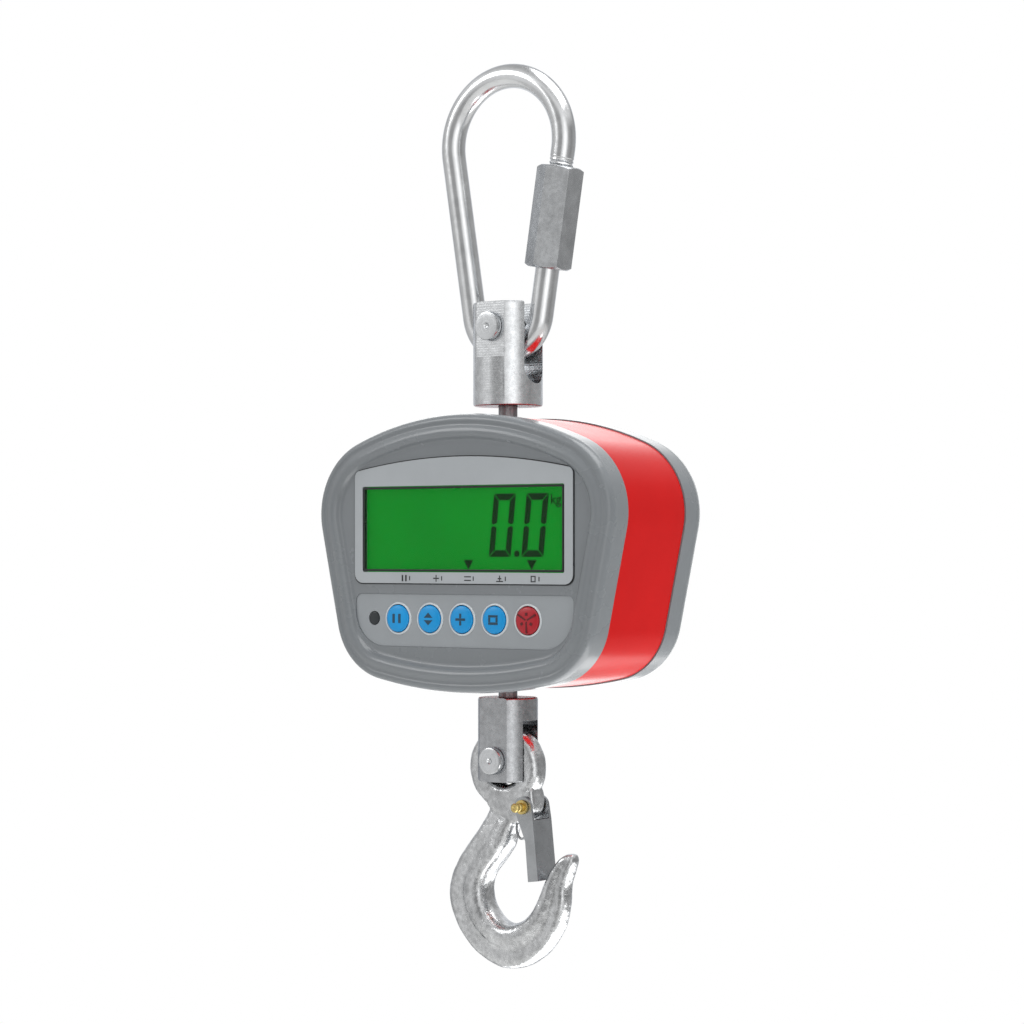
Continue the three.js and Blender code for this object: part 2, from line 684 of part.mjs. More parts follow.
// S-shaped beam: two slits from opposite sides leave a middle web that bends under load.
function loadCell() {
  const c = CELL;
  const slitZ = c.halfHeight - c.arm;
  const through = c.halfDepth + 1;
  const side = c.halfWidth + 1;
  const end = c.halfHeight + 1;
  const body = box(-c.halfWidth, c.halfWidth, -c.halfDepth, c.halfDepth, -c.halfHeight, c.halfHeight);
  const cuts = [
    box(-side, c.slitReach, -through, through, slitZ - c.slit, slitZ),
    box(-c.slitReach, side, -through, through, -slitZ, -slitZ + c.slit),
    rodY(c.webEyeRadius, -through, through, -c.webEyeX, 0),
    rodY(c.webEyeRadius, -through, through, c.webEyeX, 0),
    rodZ(c.boreRadius, c.web, end),
    rodZ(c.boreRadius, -end, -c.web),
    box(-c.pocketHalf, c.pocketHalf, -through, through, c.pocketFrom, slitZ),
    box(-c.pocketHalf, c.pocketHalf, -through, through, -slitZ, -c.pocketFrom),
    ...bracketScrewXs().map((x) => rodY(c.threadRadius, 2, through, x, c.bracketZ, 12)),
  ];
  const solid = cuts.reduce((rest, cut) => rest.subtract(toSolid(cut)), toSolid(body));
  return piece('load_cell', solid, 'alloy');
}

function bracketScrewXs() {
  return [-17, 17];
}

// Plate that ties the case to the upper arm of the load cell.
function cellBracket() {
  const front = CELL.halfDepth + GAP;
  const z = CELL.bracketZ;
  const shape = roundedRect(-54, 54, z - 9, z + 5, 3);
  for (const x of bracketScrewXs()) {
    shape.holes.push(new THREE.Path().absarc(x, z, 2.4, 0, 2 * Math.PI));
  }
  return piece('cell_bracket', slab(shape, front, front + 2, 4), 'steel');
}

function bracketScrews() {
  const head = CELL.halfDepth + GAP + 2 + GAP;
  return bracketScrewXs().map((x, i) =>
    screwY(`bracket_screw_${i + 1}`, x, CELL.bracketZ, head, 3.6, 2.4, 1.9, 9));
}

function battery() {
  const shape = roundedRect(-28, 28, -39, -7, 3);
  return piece('battery_pack', slab(shape, 13.5, 29.2, 3), 'blue');
}

// Signal lead from the load cell to the board.
function cellCable() {
  const path = new THREE.CatmullRomCurve3([
    new THREE.Vector3(0, -10.6, 12), new THREE.Vector3(0, -12.6, 12),
    new THREE.Vector3(-5, -15.6, 13.5), new THREE.Vector3(-14, -16.8, 16),
    new THREE.Vector3(-19.2, -18.6, 17.6), new THREE.Vector3(-20, -21.8, 18),
  ]);
  const section = new THREE.Shape().absarc(0, 0, 1.4, 0, 2 * Math.PI);
  const options = { steps: 14, curveSegments: 3, bevelEnabled: false, extrudePath: path };
  return piece('load_cell_cable', new THREE.ExtrudeGeometry(section, options), 'dark');
}

// ---- hook and latch, drawn about the hook's eye ------------------------------------------------

// Stations from the neck round the bowl to the tip: back [x, z], throat [x, z], thickness.
const HOOK_STATIONS = [
  [[-9.5, -13.2], [11, -13], 9.8], [[-7.3, -17], [8.5, -20], 9.8], [[-9.6, -22.8], [5.6, -25.5], 11.4],
  [[-15, -30.5], [3.4, -33], 13], [[-20.8, -38.5], [-1.2, -39.8], 13], [[-25, -47], [-5.6, -45.6], 13],
  [[-26.3, -56], [-7, -51.5], 13.2], [[-23.3, -65], [-5.6, -57.5], 13.6], [[-16.8, -73.8], [-2.2, -62], 14],
  [[-8, -80.2], [1.8, -64.3], 14], [[3, -83.6], [5.5, -64.9], 14], [[14.8, -81.3], [9.6, -63.8], 13.8],
  [[24.2, -74.4], [14, -61.2], 13.2], [[30.8, -64.5], [17.6, -57], 12.4],
  [[33.2, -54.5], [20.2, -51.4], 11.4], [[33.4, -46], [22.6, -45.4], 10.4],
  [[35.2, -39.5], [25.8, -39.4], 9.4], [[36.3, -35.2], [29.4, -35], 7.8], [[35.6, -32.8], [32, -32.9], 4.6],
];

// Half of a rounded forged section: [share of the width, share of the thickness].
const HOOK_SECTION = [[1, 0], [0.96, 0.5], [0.7, 0.93], [0, 1], [-0.62, 0.9], [-0.94, 0.46], [-1, 0]];

function hookBody() {
  const spline = (k) => new THREE.SplineCurve(
    HOOK_STATIONS.map((station) => new THREE.Vector2(...station[k])));
  const steps = 2 * (HOOK_STATIONS.length - 1);
  const back = spline(0).getPoints(steps);
  const throat = spline(1).getPoints(steps);
  const mirrored = HOOK_SECTION.slice(1, -1).reverse().map(([a, b]) => [a, -b]);
  const section = [...HOOK_SECTION, ...mirrored];
  const rings = back.map((point, i) => {
    const centre = point.clone().add(throat[i]).multiplyScalar(0.5);
    const arm = throat[i].clone().sub(point).multiplyScalar(0.5);
    const before = HOOK_STATIONS[Math.floor(i / 2)][2];
    const after = HOOK_STATIONS[Math.ceil(i / 2)][2];
    const half = (before + after) / 4;
    return section.map(([a, b]) => [centre.x + arm.x * a, -half * b, centre.y + arm.y * a]);
  });
  return toSolid(ringSkin(rings));
}

function hookEye() {
  const { eyeInner, eyeOuter, eyeThick } = HOOK;
  const half = eyeThick / 2;
  const corner = 2.6;
  const profile = [
    [eyeOuter, -half + corner], [eyeOuter, half - corner], [eyeOuter - corner, half],
    [eyeInner + corner, half], [eyeInner, half - corner], [eyeInner, -half + corner],
    [eyeInner + corner, -half], [eyeOuter - corner, -half], [eyeOuter, -half + corner],
  ];
  return toSolid(turned(profile, 32));
}

// Lug beside the neck that carries the latch pin.
function hookLug() {
  const half = HOOK.lug / 2;
  const shape = polygon([
    [-8.6, -11], [-6.8, -17], [2, -21], [6.4, -23.4], [11, -20.8], [14.6, -19.8], [16.8, -17.5],
    [17.2, -13], [16.6, -7],
  ]);
  return toSolid(slab(shape, -half, half));
}

function hook() {
  const bore = rodY(LATCH.pin + GAP, -12, 12, LATCH.x, LATCH.z, 16);
  const eye = rodY(HOOK.eyeInner, -12, 12, 0, 0, 32);
  const solid = hookBody().add(hookEye()).add(hookLug());
  return piece('hook', solid.subtract(toSolid(bore)).subtract(toSolid(eye)), 'zinc');
}

// Pressed channel: two cheeks on the pin and a web that closes the throat.
function safetyLatch() {
  const { x, z, sheet, width } = LATCH;
  const half = width / 2;
  const cheek = new THREE.Shape();
  cheek.absarc(x, z, 4.2, 10 * DEG, 205 * DEG);
  cheek.lineTo(14.8, -29);
  cheek.lineTo(17, -45.6);
  cheek.lineTo(22, -44.7);
  cheek.lineTo(18.2, -20);
  const outside = toSolid(slab(cheek, -half, half, 8));
  const pocket = polygon([
    [0, -5], [0, -50], [21.2 - sheet, -50], [18.2 - sheet, -20], [30, -20], [30, -5],
  ]);
  const inside = toSolid(slab(pocket, -half + sheet, half - sheet));
  const bore = toSolid(rodY(LATCH.pin + GAP, -half - 1, half + 1, x, z, 16));
  return piece('safety_latch', outside.subtract(inside).subtract(bore), 'zinc');
}

function latchPin() {
  const half = LATCH.width / 2;
  const r = LATCH.pin;
  const profile = [
    [0, -half - 6], [r - 0.4, -half - 6], [r, -half - 5.6], [r, half + GAP],
    [r + 1.4, half + GAP], [r + 1, half + 1.8], [0, half + 1.8],
  ];
  const geometry = turned(profile, 16);
  geometry.translate(LATCH.x, 0, LATCH.z);
  return piece('latch_pin', geometry, 'brass');
}

// Bent wire spring between the hook's throat and the latch web.
function latchSpring() {
  const path = new THREE.CatmullRomCurve3([
    new THREE.Vector3(17.6, 0, -34), new THREE.Vector3(15.4, 0, -27), new THREE.Vector3(12, 0, -22.6),
    new THREE.Vector3(9.2, 0, -23.6), new THREE.Vector3(8.4, 0, -27), new THREE.Vector3(7, 0, -31.5),
  ]);
  const section = new THREE.Shape().absarc(0, 0, 0.6, 0, 2 * Math.PI);
  const options = { steps: 14, curveSegments: 3, bevelEnabled: false, extrudePath: path };
  return piece('latch_spring', new THREE.ExtrudeGeometry(section, options), 'steel');
}

// ---- assembly --------------------------------------------------------------------------------

const topStudHead = TOP_CLEVIS.slotFloor - STUD.sink + GAP;
const bottomStudHead = BOTTOM_CLEVIS.slotTop + STUD.headHeight + STUD.headSlack - GAP;

const link = group(quickLink(), sleeve());
const upper = group(
  topClevis(), clevisPin('top_clevis_pin', TOP_CLEVIS), pinClip('top_pin_clip', TOP_CLEVIS),
  stud('top_stud', topStudHead, TILT_Z), studNut('top_stud_nut', TILT_Z),
);
const weighingCase = group(
  frontShell(), caseBand(), rearShell(), ...caseScrews(), batteryDoor(), ...doorScrews(), dcJack(),
  displayOverlay(), displayWindow(), lcdPanel(), lcdBacklight(), keypadFilm(), ...keys(),
  ...keySwitches(), sensorWindow(), sensor(), mainBoard(), ...boardScrews(), buzzer(),
  loadCell(), cellBracket(), ...bracketScrews(), battery(), cellCable(),
);
const lower = group(
  stud('bottom_stud', bottomStudHead, -TILT_Z), studNut('bottom_stud_nut', -TILT_Z),
  bottomClevis(), clevisPin('bottom_clevis_pin', BOTTOM_CLEVIS), pinClip('bottom_pin_clip', BOTTOM_CLEVIS),
);
const hookAssembly = group(hook(), safetyLatch(), latchPin(), latchSpring());
hookAssembly.position.z = HOOK.eyeZ;
hookAssembly.rotation.y = HOOK_HANG;

const scale = group(link, upper, weighingCase, lower, hookAssembly);
scale.name = 'crane_scale';
scale.position.z = -HANG_DROP;

export default scale;
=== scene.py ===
"""Crane scale: looks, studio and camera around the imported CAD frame.

Shapes are drawn in millimetres about the middle of the case, as the CAD is, and placed in
metres in the frame at the end. +Z is up and the display faces -Y.
"""

import json
import math

import bmesh
import bpy
import numpy as np
from mathutils import Matrix, Vector, noise

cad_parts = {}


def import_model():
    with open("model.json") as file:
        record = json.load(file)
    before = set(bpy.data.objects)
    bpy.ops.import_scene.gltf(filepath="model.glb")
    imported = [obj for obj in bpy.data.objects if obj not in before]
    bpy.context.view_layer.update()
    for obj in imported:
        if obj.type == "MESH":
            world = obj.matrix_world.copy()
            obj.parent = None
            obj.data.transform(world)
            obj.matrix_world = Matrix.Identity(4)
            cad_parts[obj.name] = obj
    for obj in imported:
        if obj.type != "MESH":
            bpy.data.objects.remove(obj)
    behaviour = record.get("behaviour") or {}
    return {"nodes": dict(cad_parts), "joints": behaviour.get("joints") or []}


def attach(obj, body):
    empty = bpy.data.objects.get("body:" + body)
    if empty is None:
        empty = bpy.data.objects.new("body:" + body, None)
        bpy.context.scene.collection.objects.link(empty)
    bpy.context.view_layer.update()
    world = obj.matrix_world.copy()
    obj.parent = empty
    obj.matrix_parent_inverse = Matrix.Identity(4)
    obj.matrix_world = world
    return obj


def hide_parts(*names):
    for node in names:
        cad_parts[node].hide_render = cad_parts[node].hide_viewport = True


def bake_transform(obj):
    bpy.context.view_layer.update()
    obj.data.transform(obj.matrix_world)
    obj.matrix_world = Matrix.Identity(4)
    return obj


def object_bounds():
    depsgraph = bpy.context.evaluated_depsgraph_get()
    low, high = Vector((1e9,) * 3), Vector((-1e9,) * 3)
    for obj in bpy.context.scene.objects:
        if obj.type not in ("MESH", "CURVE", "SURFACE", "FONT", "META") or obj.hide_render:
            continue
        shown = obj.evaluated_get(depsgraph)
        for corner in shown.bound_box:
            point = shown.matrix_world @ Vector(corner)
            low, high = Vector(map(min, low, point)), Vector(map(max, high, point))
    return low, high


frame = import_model()
cad_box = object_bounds()

MM = 0.001
JOINTS = {j["name"]: j for j in frame["joints"]}
MIDDLE = (JOINTS["upper_tilt"]["pos_m"][2] + JOINTS["lower_tilt"]["pos_m"][2]) / 2
PLACE = Matrix.Translation((0, 0, MIDDLE)) @ Matrix.Scale(MM, 4)

# ---- driving dimensions, in millimetres ------------------------------------------------------

GAP = 0.3
BAR = 5.0
LINK_TOP = (169.7, 28.2)  # height and radius of the wide bend's centreline
LINK_BOTTOM = (100.1, 17.2)
SLEEVE_START, SLEEVE_LENGTH, SLEEVE_FLATS, SLEEVE_TURN = 19.4, 42.0, 17.0, math.radians(-3.5)
BAR_OPENING, BAR_ENGAGED = 9.0, 4.5

TOP_CLEVIS = dict(radius=14.5, low=60.2, high=103.3, slot=13.0, floor=69.4, flat=12.7,
                  flat_from=80.3, pin_z=92.9, pin=4.7, head=5.95, head_length=2.7)
LOW_CLEVIS = dict(radius=12.5, high=-60.8, low=-95.7, slot=10.6, ceiling=-70.2, flat=10.5,
                  pin_z=-86.8, pin=3.8, head=5.65, head_length=2.7)
STUD_RADIUS, NUT_RADIUS = 4.0, 6.0

TOP_ARC = (56.0, 140.0, 32.0)  # height, radius and corner radius of the case's upper edge
LOW_ARC = (-57.9, 205.0, 28.0)
SIDE_DISTANCE, SIDE_LEAN = 69.7, math.radians(12)
WALL, BAND_HALF, BAND_INSET, PANEL = 2.5, 21.2, 0.6, 32.5

WINDOW = (50.7, -8.4, 26.5)  # half width, bottom, top
OVERLAY = (55.1, -13.3, 33.0, 38.5)  # half width, bottom, shoulder, peak
KEYPAD = (55.0, -39.5, -17.7)
RECESS = 1.2
KEY_Z, KEY_PITCH, KEY_RADIUS = -27.9, 16.4, 5.6
KEY_XS = [(i - 2) * KEY_PITCH for i in range(5)]
SENSOR_X, SENSOR_RADIUS = -45.5, 2.65
CASE_SCREWS = [(-58, 27), (58, 27), (-49.5, -38), (49.5, -38)]
DOOR = (33.0, -42.0, -4.0, 1.6)  # half width, bottom, top, thickness
DOOR_SCREW_XS = (-DOOR[0] + 2.4, DOOR[0] - 2.4)
JACK_X, JACK_Z, JACK_RADIUS = 46.0, -14.0, 5.5

EYE_Z, HOOK_HANG = -90.0, math.radians(2.6)
EYE_INNER, EYE_OUTER, EYE_HALF = 7.3, 17.5, 4.9
LATCH_X, LATCH_Z, LATCH_PIN, LATCH_HALF, SHEET = 12.8, -15.0, 1.9, 6.8, 1.4

# ---- mesh tools ------------------------------------------------------------------------------


def new_object(name, verts, faces):
    mesh = bpy.data.meshes.new(name)
    mesh.from_pydata([tuple(map(float, v)) for v in verts], [], faces)
    mesh.update()
    obj = bpy.data.objects.new(name, mesh)
    bpy.context.scene.collection.objects.link(obj)
    face_outwards(obj)
    return obj


def face_outwards(obj):
    bm = bmesh.new()
    bm.from_mesh(obj.data)
    bmesh.ops.recalc_face_normals(bm, faces=bm.faces)
    bm.to_mesh(obj.data)
    bm.free()


def strip_faces(rows, closed_rows=False):
    """Quads between rows of vertex numbers; where a row is one vertex they turn into triangles."""
    faces = []
    pairs = list(zip(rows, rows[1:]))
    if closed_rows:
        pairs.append((rows[-1], rows[0]))
    for near, far in pairs:
        count = len(near)
        for i in range(count):
            k = (i + 1) % count
            corners = [near[i], near[k], far[k], far[i]]
            face = [c for n, c in enumerate(corners) if c not in corners[:n]]
            faces.append(tuple(face))
    return faces


def loft(name, rings, closed=False):
    """A skin over rings of equally many points, capped at both ends unless it closes on itself."""
    count = len(rings[0])
    rows = [[k * count + i for i in range(count)] for k in range(len(rings))]
    faces = strip_faces(rows, closed)
    if not closed:
        faces += [tuple(rows[0]), tuple(rows[-1])]
    return new_object(name, np.concatenate([np.asarray(r, float) for r in rings]), faces)


def lathe(name, profile, axis="Z", centre=(0, 0, 0), sides=64, closed=False):
    """A turned piece from its (radius, height) profile."""
    verts, rows = [], []
    for r, h in profile:
        angles = [0.0] if r < 1e-6 else [2 * math.pi * i / sides for i in range(sides)]
        first = len(verts)
        for a in angles:
            u, v = r * math.cos(a), r * math.sin(a)
            point = (u, v, h) if axis == "Z" else (u, h, v)
            verts.append(np.add(point, centre))
        rows.append([first] * sides if r < 1e-6 else list(range(first, first + sides)))
    return new_object(name, verts, strip_faces(rows, closed))


def rod(name, radius, low, high, axis="Z", centre=(0, 0, 0), sides=64):
    return lathe(name, [(0, low), (radius, low), (radius, high), (0, high)], axis, centre, sides)


def slab(name, outline, y_front, y_back):
    """An outline drawn in X and Z, given thickness along Y."""
    return loft(name, [[(x, y, z) for x, z in outline] for y in (y_front, y_back)])


def block(name, x0, x1, y0, y1, z0, z1):
    return slab(name, [(x0, z0), (x1, z0), (x1, z1), (x0, z1)], y0, y1)


def settle(obj):
    """Turns what the modifiers show into the object's own mesh."""
    bpy.context.view_layer.update()
    graph = bpy.context.evaluated_depsgraph_get()
    mesh = bpy.data.meshes.new_from_object(obj.evaluated_get(graph))
    obj.modifiers.clear()
    obj.data = mesh
    return obj


def combine(obj, others, operation="DIFFERENCE"):
    for other in others:
        step = obj.modifiers.new("solid", "BOOLEAN")
        step.object = other
        step.operation = operation
        step.solver = "MANIFOLD"
    settle(obj)
    for other in others:
        bpy.data.objects.remove(other)
    return obj


def join(name, objs):
    """One object from several that don't touch."""
    bm = bmesh.new()
    for obj in objs:
        obj.data.transform(obj.matrix_world)
        bm.from_mesh(obj.data)
        bpy.data.objects.remove(obj)
    mesh = bpy.data.meshes.new(name)
    bm.to_mesh(mesh)
    bm.free()
    result = bpy.data.objects.new(name, mesh)
    bpy.context.scene.collection.objects.link(result)
    return result


def soften(obj, width, segments=2, angle=40):
    """Rounds the edges sharper than the angle."""
    bm = bmesh.new()
    bm.from_mesh(obj.data)
    bmesh.ops.remove_doubles(bm, verts=bm.verts, dist=0.01)
    bmesh.ops.dissolve_limit(bm, angle_limit=math.radians(0.5), verts=bm.verts, edges=bm.edges)
    bm.to_mesh(obj.data)
    bm.free()
    step = obj.modifiers.new("edges", "BEVEL")
    step.width = width
    step.segments = segments
    step.limit_method = "ANGLE"
    step.angle_limit = math.radians(angle)
    step.use_clamp_overlap = True
    return settle(obj)


def piece(obj, body, look, replaces=(), smooth=35, weighted=True):
    """Places a finished shape in the frame and gives it its body and material."""
    obj.data.transform(PLACE)
    obj.data.materials.clear()
    obj.data.materials.append(LOOKS[look])
    obj.data.shade_smooth()
    obj.data.set_sharp_from_angle(angle=math.radians(smooth))
    if weighted:
        step = obj.modifiers.new("normals", "WEIGHTED_NORMAL")
        step.keep_sharp = True
    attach(obj, body)
    if replaces:
        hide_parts(*replaces)
    return obj


# ---- outlines --------------------------------------------------------------------------------


def arc(cx, cz, radius, start, end, steps):
    return [(cx + radius * math.cos(start + (end - start) * i / steps),
             cz + radius * math.sin(start + (end - start) * i / steps)) for i in range(steps + 1)]


def distinct(points):
    return [p for i, p in enumerate(points) if math.dist(p, points[i - 1]) > 1e-4]


def rounded_rect(x0, x1, z0, z1, low, high=None, steps=8):
    """Corner radii are low at the bottom and high at the top."""
    high = low if high is None else high
    right = math.pi / 2
    return distinct(arc(x1 - high, z1 - high, high, 0, right, steps)
                    + arc(x0 + high, z1 - high, high, right, 2 * right, steps)
                    + arc(x0 + low, z0 + low, low, 2 * right, 3 * right, steps)
                    + arc(x1 - low, z0 + low, low, 3 * right, 4 * right, steps))


def catmull(points, per):
    """Uniform Catmull-Rom through the points, with that many samples in each interval."""
    points = np.asarray(points, float)
    last = len(points) - 1
    out = []
    for i in range(last):
        a, b, c, d = (points[min(max(k, 0), last)] for k in (i - 1, i, i + 1, i + 2))
        for t in np.arange(per) / per:
            out.append(0.5 * (2 * b + (c - a) * t + (2 * a - 5 * b + 4 * c - d) * t ** 2
                              + (3 * b - a - 3 * c + d) * t ** 3))
    return np.array(out + [points[-1]])


def corner_centre(big_z, big_radius, corner_radius, side):
    slope = math.tan(SIDE_LEAN)
    start = (SIDE_DISTANCE - corner_radius) / math.cos(SIDE_LEAN)
    reach = big_radius - corner_radius
    a, b = 1 + slope ** 2, 2 * (start * slope - big_z)
    c = start ** 2 + big_z ** 2 - reach ** 2
    z = (-b + side * math.sqrt(b * b - 4 * a * c)) / (2 * a)
    return start + slope * z, z


def case_outline(inset, steps=26):
    (top_z, top_r, shoulder_r), (low_z, low_r, hip_r) = TOP_ARC, LOW_ARC
    top_centre, low_centre = top_z - top_r, low_z + low_r
    sx, sz = corner_centre(top_centre, top_r, shoulder_r, 1)
    hx, hz = corner_centre(low_centre, low_r, hip_r, -1)
    top = math.atan2(sz - top_centre, sx)
    low = math.atan2(hz - low_centre, hx)
    shoulder, hip, pi, side = shoulder_r - inset, hip_r - inset, math.pi, -SIDE_LEAN
    return distinct(arc(0, top_centre, top_r - inset, top, pi - top, steps)
                    + arc(-sx, sz, shoulder, pi - top, pi - side, steps)
                    + arc(-hx, hz, hip, pi - side, pi - low, steps)
                    + arc(0, low_centre, low_r - inset, -pi - low, low, steps)
                    + arc(hx, hz, hip, low, side, steps)
                    + arc(sx, sz, shoulder, side, top, steps))


def outline_rings(rings):
    return [[(x, y, z) for x, z in case_outline(inset)] for inset, y in rings]


# ---- materials -------------------------------------------------------------------------------


class Net:
    """The node tree of a material or world, whose nodes are made in one call each."""

    def __init__(self, owner=None):
        self.owner = owner or bpy.data.materials.new("look")
        self.owner.use_nodes = True
        self.tree = self.owner.node_tree
        self.tree.nodes.clear()

    def add(self, kind, inputs=None, **settings):
        node = self.tree.nodes.new(kind)
        for key, value in settings.items():
            setattr(node, key, value)
        for key, value in (inputs or {}).items():
            if isinstance(value, bpy.types.NodeSocket):
                self.tree.links.new(value, node.inputs[key])
            else:
                node.inputs[key].default_value = value
        return node

    def place(self):
        return self.add("ShaderNodeTexCoord").outputs["Object"]

    def noise(self, vector, scale, detail=4.0, rough=0.55, distortion=0.0):
        node = self.add("ShaderNodeTexNoise", {"Vector": vector, "Scale": scale, "Detail": detail,
                                               "Roughness": rough, "Distortion": distortion})
        return node.outputs["Fac"]

    def span(self, value, low, high, start=0.3, end=0.7):
        node = self.add("ShaderNodeMapRange", {"Value": value, "From Min": start, "From Max": end,
                                               "To Min": low, "To Max": high})
        return node.outputs["Result"]

    def smooth(self, value, start, end):
        """0 below start and 1 above end, with a soft passage between."""
        node = self.add("ShaderNodeMapRange", {"Value": value, "From Min": start, "From Max": end},
                        interpolation_type="SMOOTHSTEP")
        return node.outputs["Result"]

    def blend(self, factor, first, second):
        node = self.add("ShaderNodeMix", data_type="RGBA")
        self.tree.links.new(factor, node.inputs["Factor"])
        for socket, value in ((node.inputs[6], first), (node.inputs[7], second)):
            if isinstance(value, bpy.types.NodeSocket):
                self.tree.links.new(value, socket)
            else:
                socket.default_value = (*value, 1)
        return node.outputs[2]

    def bump(self, height, depth, normal=None):
        """depth is the height of the relief in millimetres."""
        inputs = {"Height": height, "Strength": 1.0, "Distance": depth * MM}
        if normal is not None:
            inputs["Normal"] = normal
        return self.add("ShaderNodeBump", inputs).outputs["Normal"]

    def surface(self, inputs):
        shader = self.add("ShaderNodeBsdfPrincipled", inputs)
        self.add("ShaderNodeOutputMaterial", {"Surface": shader.outputs[0]})
        return self.owner


def shade(rgb, factor):
    return tuple(min(1.0, c * factor) for c in rgb)


EDGE_PAINTED_SHADE = (0.30, 0.31, 0.33, 1)  # painted shade: reflections darkened where the metal is seen edge on


def metal(base, rough, grain, depth, fine, tint=0.1, stain=0.25, marks=None):
    """Plated metal: cloudy and stained reflection, two sizes of relief and, if asked, tool marks."""
    net = Net()
    where = net.place()
    clouds = net.noise(where, grain, 5.0, 0.6)
    specks = net.noise(where, grain * 3.7, 3.0, 0.5)
    stains = net.noise(where, 60, 4.0, 0.65, 0.6)
    colour = net.blend(net.span(clouds, 0, 1), shade(base, 1 - tint), shade(base, 1 + tint))
    colour = net.blend(net.span(stains, 0, stain, 0.45, 0.75), colour, shade(base, 0.5))
    normal = net.bump(specks, fine, net.bump(clouds, depth))
    if marks:
        axis, scale, height = marks
        wave = net.add("ShaderNodeTexWave", {"Vector": where, "Scale": scale, "Distortion": 1.5,
                                             "Detail": 2.0}, bands_direction=axis)
        normal = net.bump(wave.outputs["Fac"], height, normal)
    roughness = net.span(specks, rough[0], rough[1])
    # the Specular Tint paints shade on the metal's outlines, where it is seen edge on
    return net.surface({"Base Color": colour, "Metallic": 1.0, "Roughness": roughness,
                        "Normal": normal, "Specular Tint": EDGE_PAINTED_SHADE})


def plastic(base, rough, grain, depth, coat=0.0, tint=0.05, specular=0.5, ior=1.5):
    """Moulded or painted surface with a fine texture and slight unevenness of colour."""
    net = Net()
    where = net.place()
    fine = net.noise(where, grain, 3.0, 0.6)
    broad = net.noise(where, 45, 4.0, 0.55)
    colour = net.blend(net.span(broad, 0, 1), shade(base, 1 - tint), shade(base, 1 + tint))
    return net.surface({"Base Color": colour, "Roughness": net.span(broad, rough[0], rough[1]),
                        "Normal": net.bump(fine, depth), "Coat Weight": coat,
                        "Coat Roughness": 0.12, "Specular IOR Level": specular, "IOR": ior})


def glass():
    """Clear pane: lets the view through and mirrors at grazing angles."""
    net = Net()
    smear = net.noise(net.place(), 70, 3.0)
    clear = net.add("ShaderNodeBsdfTransparent", {"Color": (0.97, 0.99, 0.98, 1)})
    shine = net.add("ShaderNodeBsdfGlossy", {"Color": (1, 1, 1, 1),
                                             "Roughness": net.span(smear, 0.03, 0.08)})
    facing = net.add("ShaderNodeLayerWeight", {"Blend": 0.5}).outputs["Facing"]
    mixed = net.add("ShaderNodeMixShader", {0: net.span(facing, 0.01, 0.4, 0.55, 1), 1: clear.outputs[0],
                                            2: shine.outputs[0]})
    net.add("ShaderNodeOutputMaterial", {"Surface": mixed.outputs[0]})
    return net.owner


def glowing(base, strength):
    """Backlit liquid crystal: an even glow, a little uneven in patches."""
    net = Net()
    clouds = net.noise(net.place(), 25, 2.0)
    colour = net.blend(net.span(clouds, 0, 1), shade(base, 0.93), shade(base, 1.05))
    return net.surface({"Base Color": colour, "Roughness": net.span(clouds, 0.3, 0.4),
                        "Emission Color": colour, "Emission Strength": strength,
                        "Specular IOR Level": 0.0})


